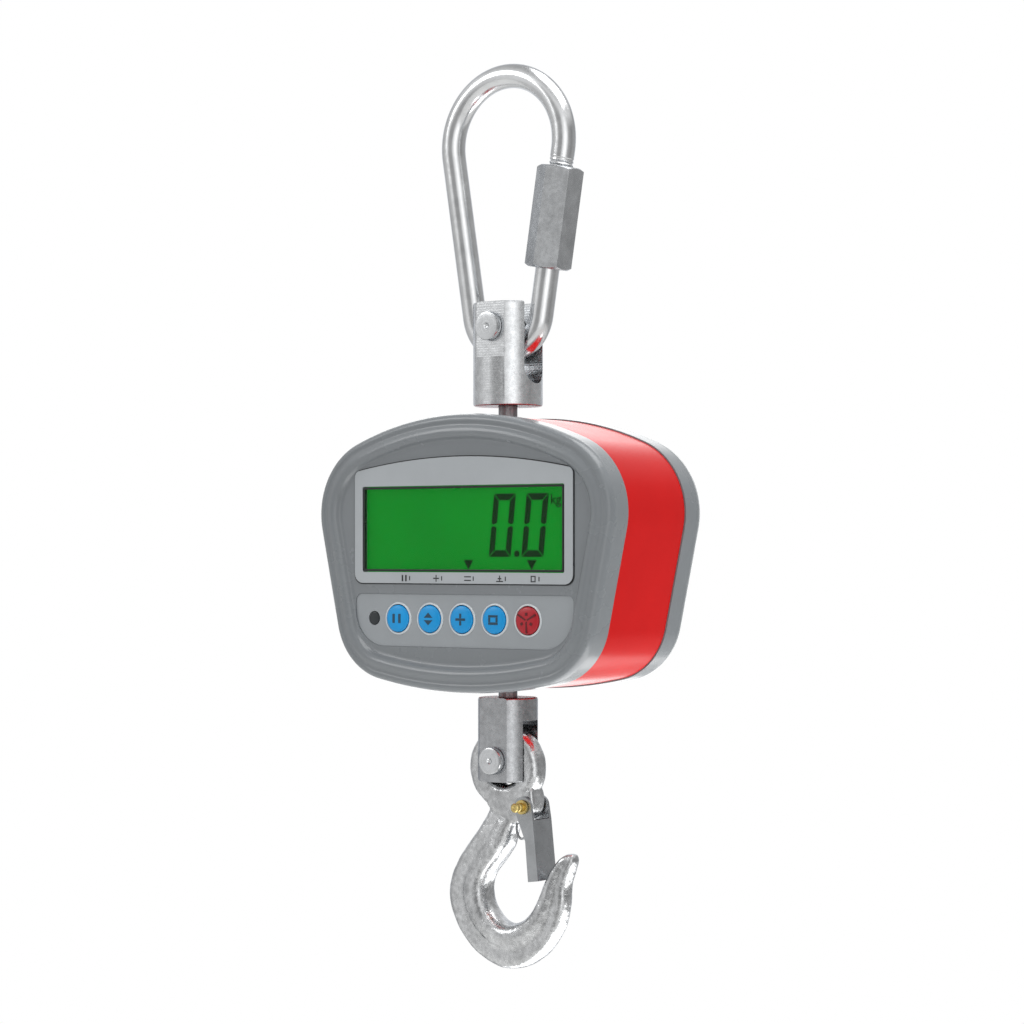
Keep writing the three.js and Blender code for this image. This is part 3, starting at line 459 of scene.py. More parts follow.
LOOKS = {
    "zinc_bar": metal((0.80, 0.81, 0.82), (0.14, 0.26), 90, 0.012, 0.002, tint=0.05),
    "zinc_forged": metal((0.70, 0.71, 0.72), (0.10, 0.34), 420, 0.22, 0.05, tint=0.25,
                         stain=0.7),
    # a darker copy of zinc_turned: painted shade on the lower clevis
    "zinc_painted_shade": metal((0.46, 0.47, 0.485), (0.16, 0.36), 420, 0.04, 0.012, tint=0.16,
                       marks=("Z", 260, 0.01)),
    "zinc_turned": metal((0.76, 0.775, 0.79), (0.16, 0.36), 420, 0.04, 0.012, tint=0.14,
                         marks=("Z", 300, 0.012)),
    "zinc_pin": metal((0.72, 0.735, 0.75), (0.18, 0.3), 400, 0.008, 0.003, tint=0.07),
    "zinc_sleeve": metal((0.62, 0.635, 0.65), (0.2, 0.36), 160, 0.016, 0.004, tint=0.14),
    "zinc_sheet": metal((0.46, 0.475, 0.49), (0.26, 0.4), 160, 0.01, 0.004, tint=0.08),
    "steel": metal((0.36, 0.37, 0.38), (0.3, 0.5), 400, 0.01, 0.004, tint=0.1),
    "brass": metal((0.72, 0.56, 0.22), (0.22, 0.38), 400, 0.01, 0.004, tint=0.12),
    "alloy": metal((0.66, 0.67, 0.68), (0.3, 0.45), 300, 0.008, 0.003, tint=0.05),
    "shell": plastic((0.203, 0.219, 0.232), (0.22, 0.30), 2200, 0.002, coat=0.2, tint=0.03),
    "red": plastic((0.58, 0.007, 0.007), (0.2, 0.27), 260, 0.0015, tint=0.03, ior=1.22),
    "film": plastic((0.405, 0.43, 0.45), (0.36, 0.46), 1800, 0.004, tint=0.04),
    "keypad": plastic((0.315, 0.337, 0.355), (0.34, 0.44), 1500, 0.004, tint=0.04),
    "ring": plastic((0.62, 0.66, 0.68), (0.2, 0.3), 900, 0.003, tint=0.03),
    "ink": plastic((0.012, 0.013, 0.014), (0.3, 0.45), 1500, 0.002),
    "border": plastic((0.006, 0.007, 0.008), (0.25, 0.35), 900, 0.002),
    "key_ink": plastic((0.01, 0.05, 0.09), (0.3, 0.45), 1500, 0.002),
    "blue": plastic((0.0, 0.29, 0.67), (0.30, 0.40), 900, 0.006, tint=0.08),
    "red_key": plastic((0.42, 0.008, 0.018), (0.30, 0.40), 900, 0.006, tint=0.1),
    "red_ink": plastic((0.10, 0.003, 0.006), (0.3, 0.45), 1500, 0.002),
    "dark": plastic((0.020, 0.022, 0.024), (0.3, 0.45), 1500, 0.004),
    "infrared": plastic((0.022, 0.027, 0.030), (0.12, 0.2), 900, 0.001, tint=0.1),
    "board": plastic((0.012, 0.10, 0.035), (0.3, 0.5), 600, 0.02, tint=0.2),
    "white": plastic((0.75, 0.76, 0.73), (0.4, 0.5), 800, 0.002),
    "wrap": plastic((0.02, 0.12, 0.35), (0.25, 0.4), 500, 0.004),
    "lcd": glowing((0.0003, 0.11, 0.006), 1.35),
    "lcd_ink": plastic((0.0008, 0.030, 0.003), (0.35, 0.45), 900, 0.001, specular=0.0),
    "glass": glass(),
}
for name, look in LOOKS.items():
    look.name = name

# ---- quick link ------------------------------------------------------------------------------


def link_lean():
    return math.asin((LINK_TOP[1] - LINK_BOTTOM[1]) / (LINK_TOP[0] - LINK_BOTTOM[0]))


def on_leg(distance):
    """Point on the right leg, so far from the narrow bend, and the direction of the leg."""
    lean = link_lean()
    low_z, low_r = LINK_BOTTOM
    x = low_r * math.cos(lean) + distance * math.sin(lean)
    z = low_z - low_r * math.sin(lean) + distance * math.cos(lean)
    return x, z


def link_path(start, end):
    """(length along the bar, point, direction) from the lower end round to the upper end."""
    lean = link_lean()
    (top_z, top_r), (low_z, low_r) = LINK_TOP, LINK_BOTTOM
    leg = math.sqrt((top_z - low_z) ** 2 - (top_r - low_r) ** 2)
    low_arc, top_arc = low_r * (math.pi - 2 * lean), top_r * (math.pi + 2 * lean)
    total = start + low_arc + leg + top_arc + (leg - end)
    thread_low, thread_high = 27.0, 13.0
    stops = [0.0, 0.4, 0.8]
    while stops[-1] < total - 0.8:
        s = stops[-1]
        threaded = s < thread_low or s > total - thread_high
        stops.append(s + (0.25 if threaded else 1.3))
    stops = [s for s in stops if s < total - 0.7] + [total - 0.4, total]
    out = []
    for s in stops:
        if s <= start:
            x, z = on_leg(start - s)
            way = (-math.sin(lean), -math.cos(lean))
        elif s <= start + low_arc:
            a = -lean - (s - start) / low_r
            x, z, way = low_r * math.cos(a), low_z + low_r * math.sin(a), (math.sin(a), -math.cos(a))
        elif s <= start + low_arc + leg:
            x, z = on_leg(s - start - low_arc)
            x, way = -x, (-math.sin(lean), math.cos(lean))
        elif s <= start + low_arc + leg + top_arc:
            a = math.pi + lean - (s - start - low_arc - leg) / top_r
            x, z, way = top_r * math.cos(a), top_z + top_r * math.sin(a), (math.sin(a), -math.cos(a))
        else:
            x, z = on_leg(leg - (s - start - low_arc - leg - top_arc))
            way = (-math.sin(lean), -math.cos(lean))
        out.append((s, (x, z), way))
    return total, out


def quick_link():
    upper_end = SLEEVE_START + SLEEVE_LENGTH - BAR_ENGAGED
    total, path = link_path(upper_end - BAR_OPENING, upper_end)
    sides, pitch, deep, chamfer = 48, 1.5, 0.42, 0.8
    runout, low_thread, high_thread = 3.0, 22.0, 9.5
    rings = []
    for s, (x, z), (dx, dz) in path:
        low = min(max((low_thread - s) / runout, 0), 1)
        high = min(max((s - total + high_thread) / runout, 0), 1)
        cut = deep * max(low, high)
        end = min(s, total - s)
        ring = []
        for i in range(sides):
            a = 2 * math.pi * i / sides
            groove = 0.5 + 0.5 * math.cos(2 * math.pi * s / pitch - a)
            r = BAR - cut * groove
            if end < chamfer:
                r = min(r, BAR - chamfer + end)
            across = r * math.cos(a)
            ring.append((x - dz * across, r * math.sin(a), z + dx * across))
        rings.append(ring)
    piece(loft("quick_link_bar", rings), "link", "zinc_bar", ["quick_link"])


def link_sleeve():
    half, corner = SLEEVE_LENGTH / 2, SLEEVE_FLATS / math.sqrt(3)
    hexagon = [(corner * math.cos(math.radians(a)), corner * math.sin(math.radians(a)))
               for a in range(-90, 270, 60)]
    turn = Matrix.Rotation(SLEEVE_TURN, 4, "Z")
    obj = loft("link_sleeve_hexagon", [[(x, y, z) for x, y in hexagon] for z in (-half, half)])
    obj.data.transform(turn)
    lens = lathe("barrel", [(0, -half), (corner - 1.7, -half), (corner + 0.02, -half + 1.1),
                            (corner + 0.02, half - 1.1), (corner - 1.7, half), (0, half)], sides=96)
    combine(obj, [lens], "INTERSECT")
    mouth = BAR + 1.3
    bore = lathe("bore", [(0, -half - 1), (mouth + 1, -half - 1), (BAR + GAP, -half + mouth - BAR - GAP),
                          (BAR + GAP, half - mouth + BAR + GAP), (mouth + 1, half + 1), (0, half + 1)],
                 sides=64)
    combine(obj, [bore])
    soften(obj, 0.45, 3, 25)
    x, z = on_leg(SLEEVE_START + half)
    obj.data.transform(Matrix.Translation((x, 0, z)) @ Matrix.Rotation(link_lean(), 4, "Y"))
    piece(obj, "sleeve", "zinc_sleeve", ["link_sleeve"], smooth=30)


# ---- clevises --------------------------------------------------------------------------------


def turned_block(name, c):
    r, low, high, edge = c["radius"], c["low"], c["high"], 0.9
    return lathe(name, [(0, low), (r - edge, low), (r - 0.25, low + 0.25), (r, low + edge),
                        (r, high - edge), (r - 0.25, high - 0.25), (r - edge, high), (0, high)],
                 sides=96)


def flats_and_bore(c, low, high):
    """Cuts both clevises share: the two flats from low to high, and the bore for the cross pin."""
    wide = c["radius"] + 1
    cuts = []
    for side in (-1, 1):
        ys = sorted((side * c["flat"], side * (wide + 1)))
        cuts.append(block("flat", -wide, wide, *ys, low, high))
    return cuts + [rod("bore", c["pin"] + GAP, -wide, wide, "Y", (0, 0, c["pin_z"]))]


def top_clevis():
    c = TOP_CLEVIS
    obj = turned_block("top_clevis_fork", c)
    half, wide = c["slot"] / 2, c["radius"] + 1
    middle = c["floor"] + half
    slot = arc(0, middle, half, math.pi, 2 * math.pi, 24) + [(half, c["high"] + 2), (-half, c["high"] + 2)]
    cuts = [loft("slot", [[(x, y, z) for y, z in slot] for x in (-wide, wide)])]
    cuts += flats_and_bore(c, c["flat_from"], c["high"] + 2)
    cuts.append(rod("hole", STUD_RADIUS + GAP, c["low"] - 1, c["floor"] + 3))
    cuts.append(rod("seat", NUT_RADIUS + GAP, c["floor"] - 2, c["floor"] + half))
    combine(obj, cuts)
    soften(obj, 0.5, 3, 32)
    piece(obj, "upper_clevis", "zinc_turned", ["top_clevis"], smooth=30)


def bottom_clevis():
    c = LOW_CLEVIS
    obj = turned_block("bottom_clevis_fork", c)
    half, wide = c["slot"] / 2, c["radius"] + 1
    cuts = [block("slot", -wide, wide, -half, half, c["low"] - 1, c["ceiling"])]
    cuts += flats_and_bore(c, c["low"] - 1, c["high"] + 1)
    cuts.append(rod("hole", STUD_RADIUS + GAP, c["ceiling"] - 1, c["high"] + 1))
    cuts.append(rod("seat", NUT_RADIUS + GAP, c["ceiling"] - 0.5, c["ceiling"] + 5))
    combine(obj, cuts)
    soften(obj, 0.5, 3, 32)
    # the lower clevis's darker zinc is painted shade
    piece(obj, "lower_clevis", "zinc_painted_shade", ["bottom_clevis"], smooth=30)


def clevis_pin(name, c, body, node, rings):
    """Headed pin: dimple and turned rings in the head, chamfered edge, clip groove behind."""
    face = -c["flat"] - GAP
    front, back, r, head = face - c["head_length"], c["flat"] + 3, c["pin"], c["head"]
    profile = [(0, front + 0.75), (0.7, front + 0.6), (1.3, front + 0.05)]
    for k in range(rings):
        at = 2.0 + k * (head - 3.0) / rings
        profile += [(at, front), (at + 0.3, front + 0.05), (at + 0.6, front)]
    profile += [(head - 0.7, front), (head - 0.2, front + 0.2), (head, front + 0.7), (head, face - 0.2),
                (head - 0.2, face), (r, face), (r, back - 2.3), (r - 0.8, back - 2.3),
                (r - 0.8, back - 0.9), (r, back - 0.9), (r, back - 0.5), (r - 0.5, back), (0, back)]
    obj = lathe(name, profile, "Y", (0, 0, c["pin_z"]), 72)
    piece(obj, body, "zinc_pin", [node], smooth=28)


# ---- case ------------------------------------------------------------------------------------


def shell_profile():
    """(inset, y) from the inside face over the rim, rolled edge, valley and ridge to the panel."""
    rim = BAND_HALF + GAP
    start = [(WALL, PANEL - WALL), (WALL, rim), (0.3, rim), (0.08, rim + 0.08), (0, rim + 0.3)]
    edge = catmull([(0, 29.5), (0, 31.2), (0.75, 33.5), (2.4, 34.5), (4.2, 34.25), (6.1, 35.15),
                    (7.6, 35.45), (9.2, 34.6), (10.2, 33.2), (10.8, 32.72), (11.8, PANEL)], 5)
    return start + [tuple(p) for p in edge]


def front_shell():
    obj = loft("front_shell_moulding", outline_rings([(inset, -y) for inset, y in shell_profile()]))
    inside = -(PANEL - WALL)
    half, low, high = WINDOW
    window = rounded_rect(-half - GAP, half + GAP, low - GAP, high + GAP, 0.8)
    cuts = [slab("window", window, -40, inside + 1), slab("recess", keypad_outline(0), -40, -PANEL + RECESS)]
    combine(obj, cuts + keypad_holes(inside + 1))
    soften(obj, 0.35, 3, 50)
    piece(obj, "case", "shell", ["front_shell"])


def keypad_holes(back):
    """Bars that cut the holes of the keys and of the infrared window."""
    keys = [rod("key", KEY_RADIUS + GAP, -40, back, "Y", (x, 0, KEY_Z)) for x in KEY_XS]
    return keys + [rod("eye", SENSOR_RADIUS + GAP, -40, back, "Y", (SENSOR_X, 0, KEY_Z), 40)]


def keypad_outline(inset):
    half, low, high = KEYPAD
    return rounded_rect(-half + inset, half - inset, low + inset, high - inset, 15 - inset, 3 - inset, 14)


def case_band():
    inset, y, edge = BAND_INSET, BAND_HALF + GAP - 0.05, 0.35
    side = [(inset + WALL, -y), (inset + edge, -y), (inset + 0.1, -y + 0.1), (inset, -y + edge)]
    rings = side + [(inset, h) for h in (-14, -7, 0, 7, 14)] + [(a, -b) for a, b in reversed(side)]
    obj = loft("case_band_red", outline_rings(rings), closed=True)
    combine(obj, [rod("hole", 8.2, LOW_ARC[0] - 5, TOP_ARC[0] + 5)])
    piece(obj, "case", "red", ["case_band"])


def rear_shell():
    obj = loft("rear_shell_moulding", outline_rings(shell_profile()))
    inside = PANEL - WALL
    half, low, high, thick = DOOR
    cuts = [slab("seat", rounded_rect(-half - GAP, half + GAP, low - GAP, high + GAP, 3),
                 PANEL - thick - GAP, 40),
            slab("opening", rounded_rect(-half + 4, half - 4, low + 2, high - 2, 2), inside - 1, 40),
            rod("jack", JACK_RADIUS + GAP, inside - 1, 40, "Y", (JACK_X, 0, JACK_Z))]
    cuts += [rod("well", 3.2, inside - 0.5, 40, "Y", (x, 0, z), 40) for x, z in CASE_SCREWS]
    cuts += [rod("thread", 1.1, inside - 1, 40, "Y", (x, 0, (low + high) / 2), 24) for x in DOOR_SCREW_XS]
    combine(obj, cuts)
    soften(obj, 0.35, 3, 50)
    piece(obj, "case", "shell", ["rear_shell"])


def battery_door():
    half, low, high, thick = DOOR
    obj = slab("battery_door_lid", rounded_rect(-half, half, low, high, 3), PANEL - thick, PANEL)
    middle = (low + high) / 2
    cuts = [rod("hole", 1.3, 0, 40, "Y", (x, 0, middle), 24) for x in DOOR_SCREW_XS]
    cuts += [block("grip", -9, 9, PANEL - 0.5, 40, z, z + 1) for z in (high - 9, high - 7, high - 5)]
    combine(obj, cuts)
    soften(obj, 0.25, 2, 50)
    piece(obj, "case", "shell", ["battery_door"])


def cross_screw(name, x, z, seat, head, height, shaft, length, node):
    """Pan-headed screw along Y with a cross recess."""
    profile = [(0, seat - length), (shaft * 0.5, seat - length), (shaft, seat - length + 1), (shaft, seat),
               (head, seat), (head, seat + height * 0.35), (head * 0.86, seat + height * 0.85),
               (head * 0.6, seat + height), (0, seat + height)]
    obj = lathe(name, profile, "Y", (x, 0, z), 32)
    arm, wide = head * 0.62, head * 0.11
    top, depth = seat + height + 1, seat + height * 0.45
    combine(obj, [block("slot", x - arm, x + arm, depth, top, z - wide, z + wide),
                  block("slot", x - wide, x + wide, depth, top, z - arm, z + arm)])
    piece(obj, "case", "steel", [node])


def screws():
    seat = PANEL - WALL - 0.5 + GAP
    for i, (x, z) in enumerate(CASE_SCREWS):
        cross_screw(f"case_screw_head_{i + 1}", x, z, seat, 2.8, 1.8, 1.5, seat + 28, f"case_screw_{i + 1}")
    _, low, high, _ = DOOR
    for i, x in enumerate(DOOR_SCREW_XS):
        cross_screw(f"door_screw_head_{i + 1}", x, (low + high) / 2, PANEL + GAP, 1.9, 1.1, 0.8, 4,
                    f"door_screw_{i + 1}")


def charging_socket():
    inside = PANEL - WALL
    r = JACK_RADIUS
    profile = [(0, inside - 9), (7, inside - 9), (7, inside - GAP), (r, inside - GAP), (r, PANEL - 0.3),
               (r - 0.3, PANEL), (4.2, PANEL), (3.9, PANEL - 0.4), (3.1, PANEL - 0.9), (3.1, inside - 5),
               (1, inside - 5), (1, PANEL - 1.4), (0.6, PANEL - 1), (0, PANEL - 1)]
    obj = lathe("charging_socket", profile, "Y", (JACK_X, 0, JACK_Z), 48)
    piece(obj, "case", "dark", ["dc_jack"])


# ---- display and keys ------------------------------------------------------------------------


def overlay_outline(grow):
    half, low, shoulder, peak = OVERLAY
    flat = rounded_rect(-half - grow, half + grow, low - grow, shoulder + grow, 4, 2, 8)
    top = [p for p in flat if p[1] > shoulder + grow - 1e-6]
    left, right = min(p[0] for p in top), max(p[0] for p in top)
    run = [(right + (left - right) * i / 40, shoulder + grow) for i in range(41)]
    first = flat.index(max(top))
    others = [p for p in flat if p not in top]
    points = others[:first] + run + others[first:]
    rise = peak - shoulder
    bend_from = shoulder - 3
    return [(x, z + rise * (1 - (x / half) ** 2) if z > bend_from and abs(x) < half else z)
            for x, z in points]


def display_overlay():
    half, low, high = WINDOW
    for name, grow, front, back, look in (("overlay_edge", 0.45, -PANEL - 0.28, -PANEL - 0.02, "border"),
                                          ("overlay_film", 0, -PANEL - 0.7, -PANEL - 0.3, "film")):
        obj = slab(name, overlay_outline(grow), front, back)
        window = rounded_rect(-half - GAP, half + GAP, low - GAP, high + GAP, 0.8)
        combine(obj, [slab("window", window, -40, 0)])
        soften(obj, 0.1, 2, 50)
        nodes = ["display_overlay"] if look == "film" else []
        piece(obj, "case", look, nodes)


def display_window():
    half, low, high = WINDOW
    border = 0.9
    outer = rounded_rect(-half, half, low, high, 0.8)
    inner = rounded_rect(-half + border, half - border, low + border, high - border, 0.5)
    obj = slab("window_border", outer, -PANEL - 0.6, -PANEL + 0.8)
    combine(obj, [slab("pane", inner, -40, 0)])
    soften(obj, 0.1, 2, 50)
    piece(obj, "case", "border")
    gap = 0.02
    rim = border + gap
    pane = rounded_rect(-half + rim, half - rim, low + rim, high - rim, 0.5)
    obj = slab("window_pane", pane, -PANEL - 0.5, -PANEL + 0.8)
    soften(obj, 0.1, 2, 50)
    piece(obj, "case", "glass", ["display_window"])


LCD_FRONT = -29.7
DIGIT = dict(height=25.6, width=10.9, bar=2.75, slant=math.tan(math.radians(6)), gap=0.22)


def segment(points, base_x, base_z):
    lean = DIGIT["slant"]
    return slab("segment", [(base_x + x + lean * z, base_z + z) for x, z in points],
                LCD_FRONT - 0.06, LCD_FRONT - 0.02)


def digit_zero(x0, z0):
    """The six outer bars of a seven-segment figure."""
    w, h, t, g = DIGIT["width"], DIGIT["height"], DIGIT["bar"], DIGIT["gap"]
    middle = h / 2
    cap = [(g, 0), (w - g, 0), (w - t - g, t), (t + g, t)]
    side = [(0, g), (t, t + g), (t, middle - t * 0.3 - g), (t * 0.4, middle - g), (0, middle - t * 0.3)]
    shapes = [cap, [(x, h - z) for x, z in cap]]
    for right in (False, True):
        for upper in (False, True):
            shapes.append([(w - x if right else x, h - z if upper else z) for x, z in side])
    return [segment(shape, x0, z0) for shape in shapes]


def display_figures():
    bottom = -2.4
    parts = digit_zero(11.6, bottom) + digit_zero(27.7, bottom)
    dot, dot_x = 1.3, 25.6
    parts.append(slab("segment", rounded_rect(dot_x - dot, dot_x + dot, bottom, bottom + 2 * dot, 0.9),
                      LCD_FRONT - 0.06, LCD_FRONT - 0.02))
    for x in (1.4, 32.9):
        parts.append(slab("segment", [(x - 2.5, -3.6), (x + 2.5, -3.6), (x, -7.6)],
                          LCD_FRONT - 0.06, LCD_FRONT - 0.02))
    parts.append(unit_sign())
    piece(join("display_figures", parts), "case", "lcd_ink", smooth=30)


def unit_sign():
    """The letters kg."""
    curve = bpy.data.curves.new("kg", "FONT")
    curve.body = "kg"
    curve.size = 5.8
    curve.extrude = 0.02
    curve.offset = 0.09
    curve.resolution_u = 6
    text = bpy.data.objects.new("kg", curve)
    bpy.context.scene.collection.objects.link(text)
    bpy.context.view_layer.update()
    mesh = bpy.data.meshes.new_from_object(text.evaluated_get(bpy.context.evaluated_depsgraph_get()))
    bpy.data.objects.remove(text)
    obj = bpy.data.objects.new("kg_sign", mesh)
    bpy.context.scene.collection.objects.link(obj)
    mesh.transform(Matrix.Translation((41.9, LCD_FRONT - 0.04, 18.8)) @ Matrix.Rotation(math.pi / 2, 4, "X"))
    return obj


def legends():
    """Five small generic signs printed under the display: hold, add, steady, tare and zero."""
    y0, y1 = -PANEL - 0.73, -PANEL - 0.69
    z = -11.2

    def patch(x0, x1, z0, z1):
        return slab("mark", [(x0, z + z0), (x1, z + z0), (x1, z + z1), (x0, z + z1)], y0, y1)

    signs = {
        -29: [(-1.3, -0.5, -1.3, 1.3), (0.5, 1.3, -1.3, 1.3)],
        -12.5: [(-1.5, 1.5, -0.25, 0.25), (-0.25, 0.25, 0.3, 1.4), (-0.25, 0.25, -1.4, -0.3)],
        3.5: [(-1.7, 1.7, 0.5, 0.95), (-1.7, 1.7, -0.95, -0.5)],
        19.5: [(-1.7, 1.7, -1.3, -0.85), (-0.25, 0.25, -0.8, 1.3), (-0.9, -0.3, -0.2, 0.3),
               (0.3, 0.9, -0.2, 0.3)],
        36: [(-1.2, -0.7, -1.3, 1.3), (0.7, 1.2, -1.3, 1.3), (-0.65, 0.65, 0.85, 1.3),
             (-0.65, 0.65, -1.3, -0.85)],
    }
    marks = []
    for x, bars in signs.items():
        marks += [patch(x + a, x + b, c, d) for a, b, c, d in bars]
        marks.append(patch(x + 2.6, x + 3.1, -0.9, 0.9))
    piece(join("printed_legends", marks), "case", "ink", smooth=30)


def keypad():
    back = -PANEL + RECESS - GAP
    front = back - 0.5
    obj = slab("keypad_membrane", keypad_outline(0.06), front, back)
    combine(obj, keypad_holes(0))
    soften(obj, 0.12, 2, 50)
    piece(obj, "case", "keypad", ["keypad_film"])
    for i, x in enumerate(KEY_XS):
        inner, outer, high = KEY_RADIUS + GAP + 0.02, KEY_RADIUS + 1.15, 0.45
        profile = [(inner, front), (inner, front - high * 0.7), (inner + 0.18, front - high),
                   ((inner + outer) / 2, front - high * 1.05), (outer - 0.15, front - high * 0.7),
                   (outer, front)]
        ring = lathe(f"key_ring_{i + 1}", profile, "Y", (x, 0, KEY_Z), 64, closed=True)
        piece(ring, "case", "ring", smooth=60)
    y, r = -PANEL + 0.4, SENSOR_RADIUS
    eye = lathe("sensor_lens", [(0, y), (r - 0.5, y + 0.02), (r - 0.1, y + 0.12), (r, y + 0.35), (r, -30.2),
                                (0, -30.2)], "Y", (SENSOR_X, 0, KEY_Z), 48)
    piece(eye, "case", "infrared", ["sensor_window"], smooth=50)


def key_marks(index, x):
    """Generic signs: pause, triangles, plus, return; three spokes on the red key."""
    y0, y1 = -PANEL - 1.06, -PANEL - 0.7
    z = KEY_Z

    def bar(x0, x1, z0, z1, turn=0.0):
        obj = slab("mark", rounded_rect(x0, x1, z0, z1, 0.12, steps=3), y0, y1)
        spin = Matrix.Rotation(turn, 4, "Y")
        obj.data.transform(Matrix.Translation((x, 0, z)) @ spin)
        return obj

    if index == 0:
        return [bar(-2.1, -0.9, -1.9, 1.9), bar(0.9, 2.1, -1.9, 1.9)]
    if index == 1:
        up = slab("mark", [(x - 2.2, z + 0.5), (x + 2.2, z + 0.5), (x, z + 2.6)], y0, y1)
        down = slab("mark", [(x - 2.2, z - 0.5), (x, z - 2.6), (x + 2.2, z - 0.5)], y0, y1)
        return [up, down]
    if index == 2:
        return [bar(-2.4, 2.4, -0.5, 0.5), bar(-0.5, 0.5, 0.6, 2.4), bar(-0.5, 0.5, -2.4, -0.6)]
    if index == 3:
        return [bar(-2.3, 2.3, -1.9, -0.9), bar(1.3, 2.3, -0.8, 1.0), bar(-2.3, -1.3, -0.8, 1.0),
                bar(-2.3, 2.3, 1.1, 2.0)]
    spokes = [bar(-0.35, 0.35, 0.4, 5.0, math.radians(a)) for a in (60, 180, 300)]
    dots = [bar(-0.55, 0.55, 2.0, 3.2, math.radians(a)) for a in (0, 120, 240)]
    return spokes + dots


def keys():
    inside = -(PANEL - WALL)
    rim, face, r, flange = inside + GAP, -PANEL - 0.5, KEY_RADIUS, 6.4
    for i, x in enumerate(KEY_XS):
        profile = [(0, face - 0.5), (r * 0.3, face - 0.48), (r * 0.6, face - 0.38), (r * 0.8, face - 0.22),
                   (r - 0.4, face + 0.02), (r - 0.1, face + 0.22), (r, face + 0.55), (r, rim),
                   (flange, rim), (flange, rim + 1), (0, rim + 1)]
        obj = lathe(f"key_cap_{i + 1}", profile, "Y", (x, 0, KEY_Z), 64)
        red = i == len(KEY_XS) - 1
        piece(obj, f"key_{i + 1}", "red_key" if red else "blue",
              [f"key_{i + 1}"], smooth=40)
        marks = join(f"key_mark_{i + 1}", key_marks(i, x))
        piece(marks, f"key_{i + 1}", "red_ink" if red else "key_ink", smooth=30)


# ---- hook and latch --------------------------------------------------------------------------

# Stations from the neck round the bowl to the tip: back, throat, thickness, about the eye.
HOOK_STATIONS = [
    ((-9.5, -13.2), (11, -13), 9.8), ((-7.3, -17), (8.5, -20), 9.8), ((-9.6, -22.8), (5.6, -25.5), 11.4),
    ((-15, -30.5), (3.4, -33), 13), ((-20.8, -38.5), (-1.2, -39.8), 13), ((-25, -47), (-5.6, -45.6), 13),
    ((-26.3, -56), (-7, -51.5), 13.2), ((-23.3, -65), (-5.6, -57.5), 13.6),
    ((-16.8, -73.8), (-2.2, -62), 14), ((-8, -80.2), (1.8, -64.3), 14), ((3, -83.6), (5.5, -64.9), 14),
    ((14.8, -81.3), (9.6, -63.8), 13.8), ((24.2, -74.4), (14, -61.2), 13.2),
    ((30.8, -64.5), (17.6, -57), 12.4), ((33.2, -54.5), (20.2, -51.4), 11.4),
    ((33.4, -46), (22.6, -45.4), 10.4), ((35.2, -39.5), (25.8, -39.4), 9.4),
    ((36.3, -35.2), (29.4, -35), 7.8), ((35.6, -32.8), (32, -32.9), 4.6),
]
# Across the section, from throat to back: plain at the neck and tip, a bulge and a thinner rim between.
PLAIN_SECTION = [(1, 0), (0.96, 0.5), (0.76, 0.88), (0.4, 0.99), (0.1, 1), (-0.15, 0.98), (-0.66, 0.88),
                 (-0.94, 0.46), (-1, 0)]
RIMMED_SECTION = [(1, 0), (0.96, 0.5), (0.76, 0.92), (0.4, 1), (0.06, 0.84), (-0.15, 0.7), (-0.7, 0.68),
                  (-0.94, 0.42), (-1, 0)]
HANG = Matrix.Translation((0, 0, EYE_Z)) @ Matrix.Rotation(HOOK_HANG, 4, "Y")


def hook_body():
    per = 5
    back = catmull([s[0] for s in HOOK_STATIONS], per)
    throat = catmull([s[1] for s in HOOK_STATIONS], per)
    thick = catmull([(s[2], 0) for s in HOOK_STATIONS], per)[:, 0] / 2
    plain, rimmed = closed_section(PLAIN_SECTION), closed_section(RIMMED_SECTION)
    rings = []
    for k, (p, q, half) in enumerate(zip(back, throat, thick)):
        share = math.sin(math.pi * k / (len(back) - 1)) ** 0.6
        section = plain + (rimmed - plain) * share
        centre, arm = (p + q) / 2, (q - p) / 2
        rings.append([(centre[0] + arm[0] * a, -half * b, centre[1] + arm[1] * a) for a, b in section])
    return loft("hook_forging", rings)


def closed_section(half_section):
    """The half outline and its mirror image, as one smooth loop."""
    control = half_section + [(a, -b) for a, b in reversed(half_section[1:-1])]
    smooth = catmull(control[-2:] + control + control[:2], 4)[8:-8]
    return smooth[:4 * len(control)]


def hook():
    obj = hook_body()
    half, corner = EYE_HALF, 3.2
    profile = []
    outer, inner, side = EYE_OUTER - corner, EYE_INNER + corner, half - corner
    for cx, cy, start in ((outer, side, 0), (inner, side, 90), (inner, -side, 180), (outer, -side, 270)):
        profile += arc(cx, cy, corner, math.radians(start), math.radians(start + 90), 6)
    eye = lathe("eye", profile, "Y", (0, 0, 0), 96, closed=True)
    lug = slab("lug", [(-8.6, -11), (-6.8, -17), (2, -21), (6.4, -23.4), (11, -21.2), (14.4, -19.6),
                       (16.2, -17), (16.6, -13), (15.4, -7)], -half, half)
    soften(lug, 2.2, 4, 20)
    combine(obj, [eye, lug], "UNION")
    combine(obj, [rod("eye", EYE_INNER, -12, 12, "Y", (0, 0, 0), 96),
                  rod("bore", LATCH_PIN + GAP, -12, 12, "Y", (LATCH_X, 0, LATCH_Z), 32)])
    step = obj.modifiers.new("skin", "REMESH")
    step.mode = "VOXEL"
    step.voxel_size = 0.42
    step = obj.modifiers.new("flow", "SMOOTH")
    step.factor = 0.6
    step.iterations = 6
    settle(obj)
    roughen(obj, 0.16, 0.24, 0.05, 0.8)
    obj.data.transform(HANG)
    piece(obj, "hook", "zinc_forged", ["hook"], smooth=180, weighted=False)


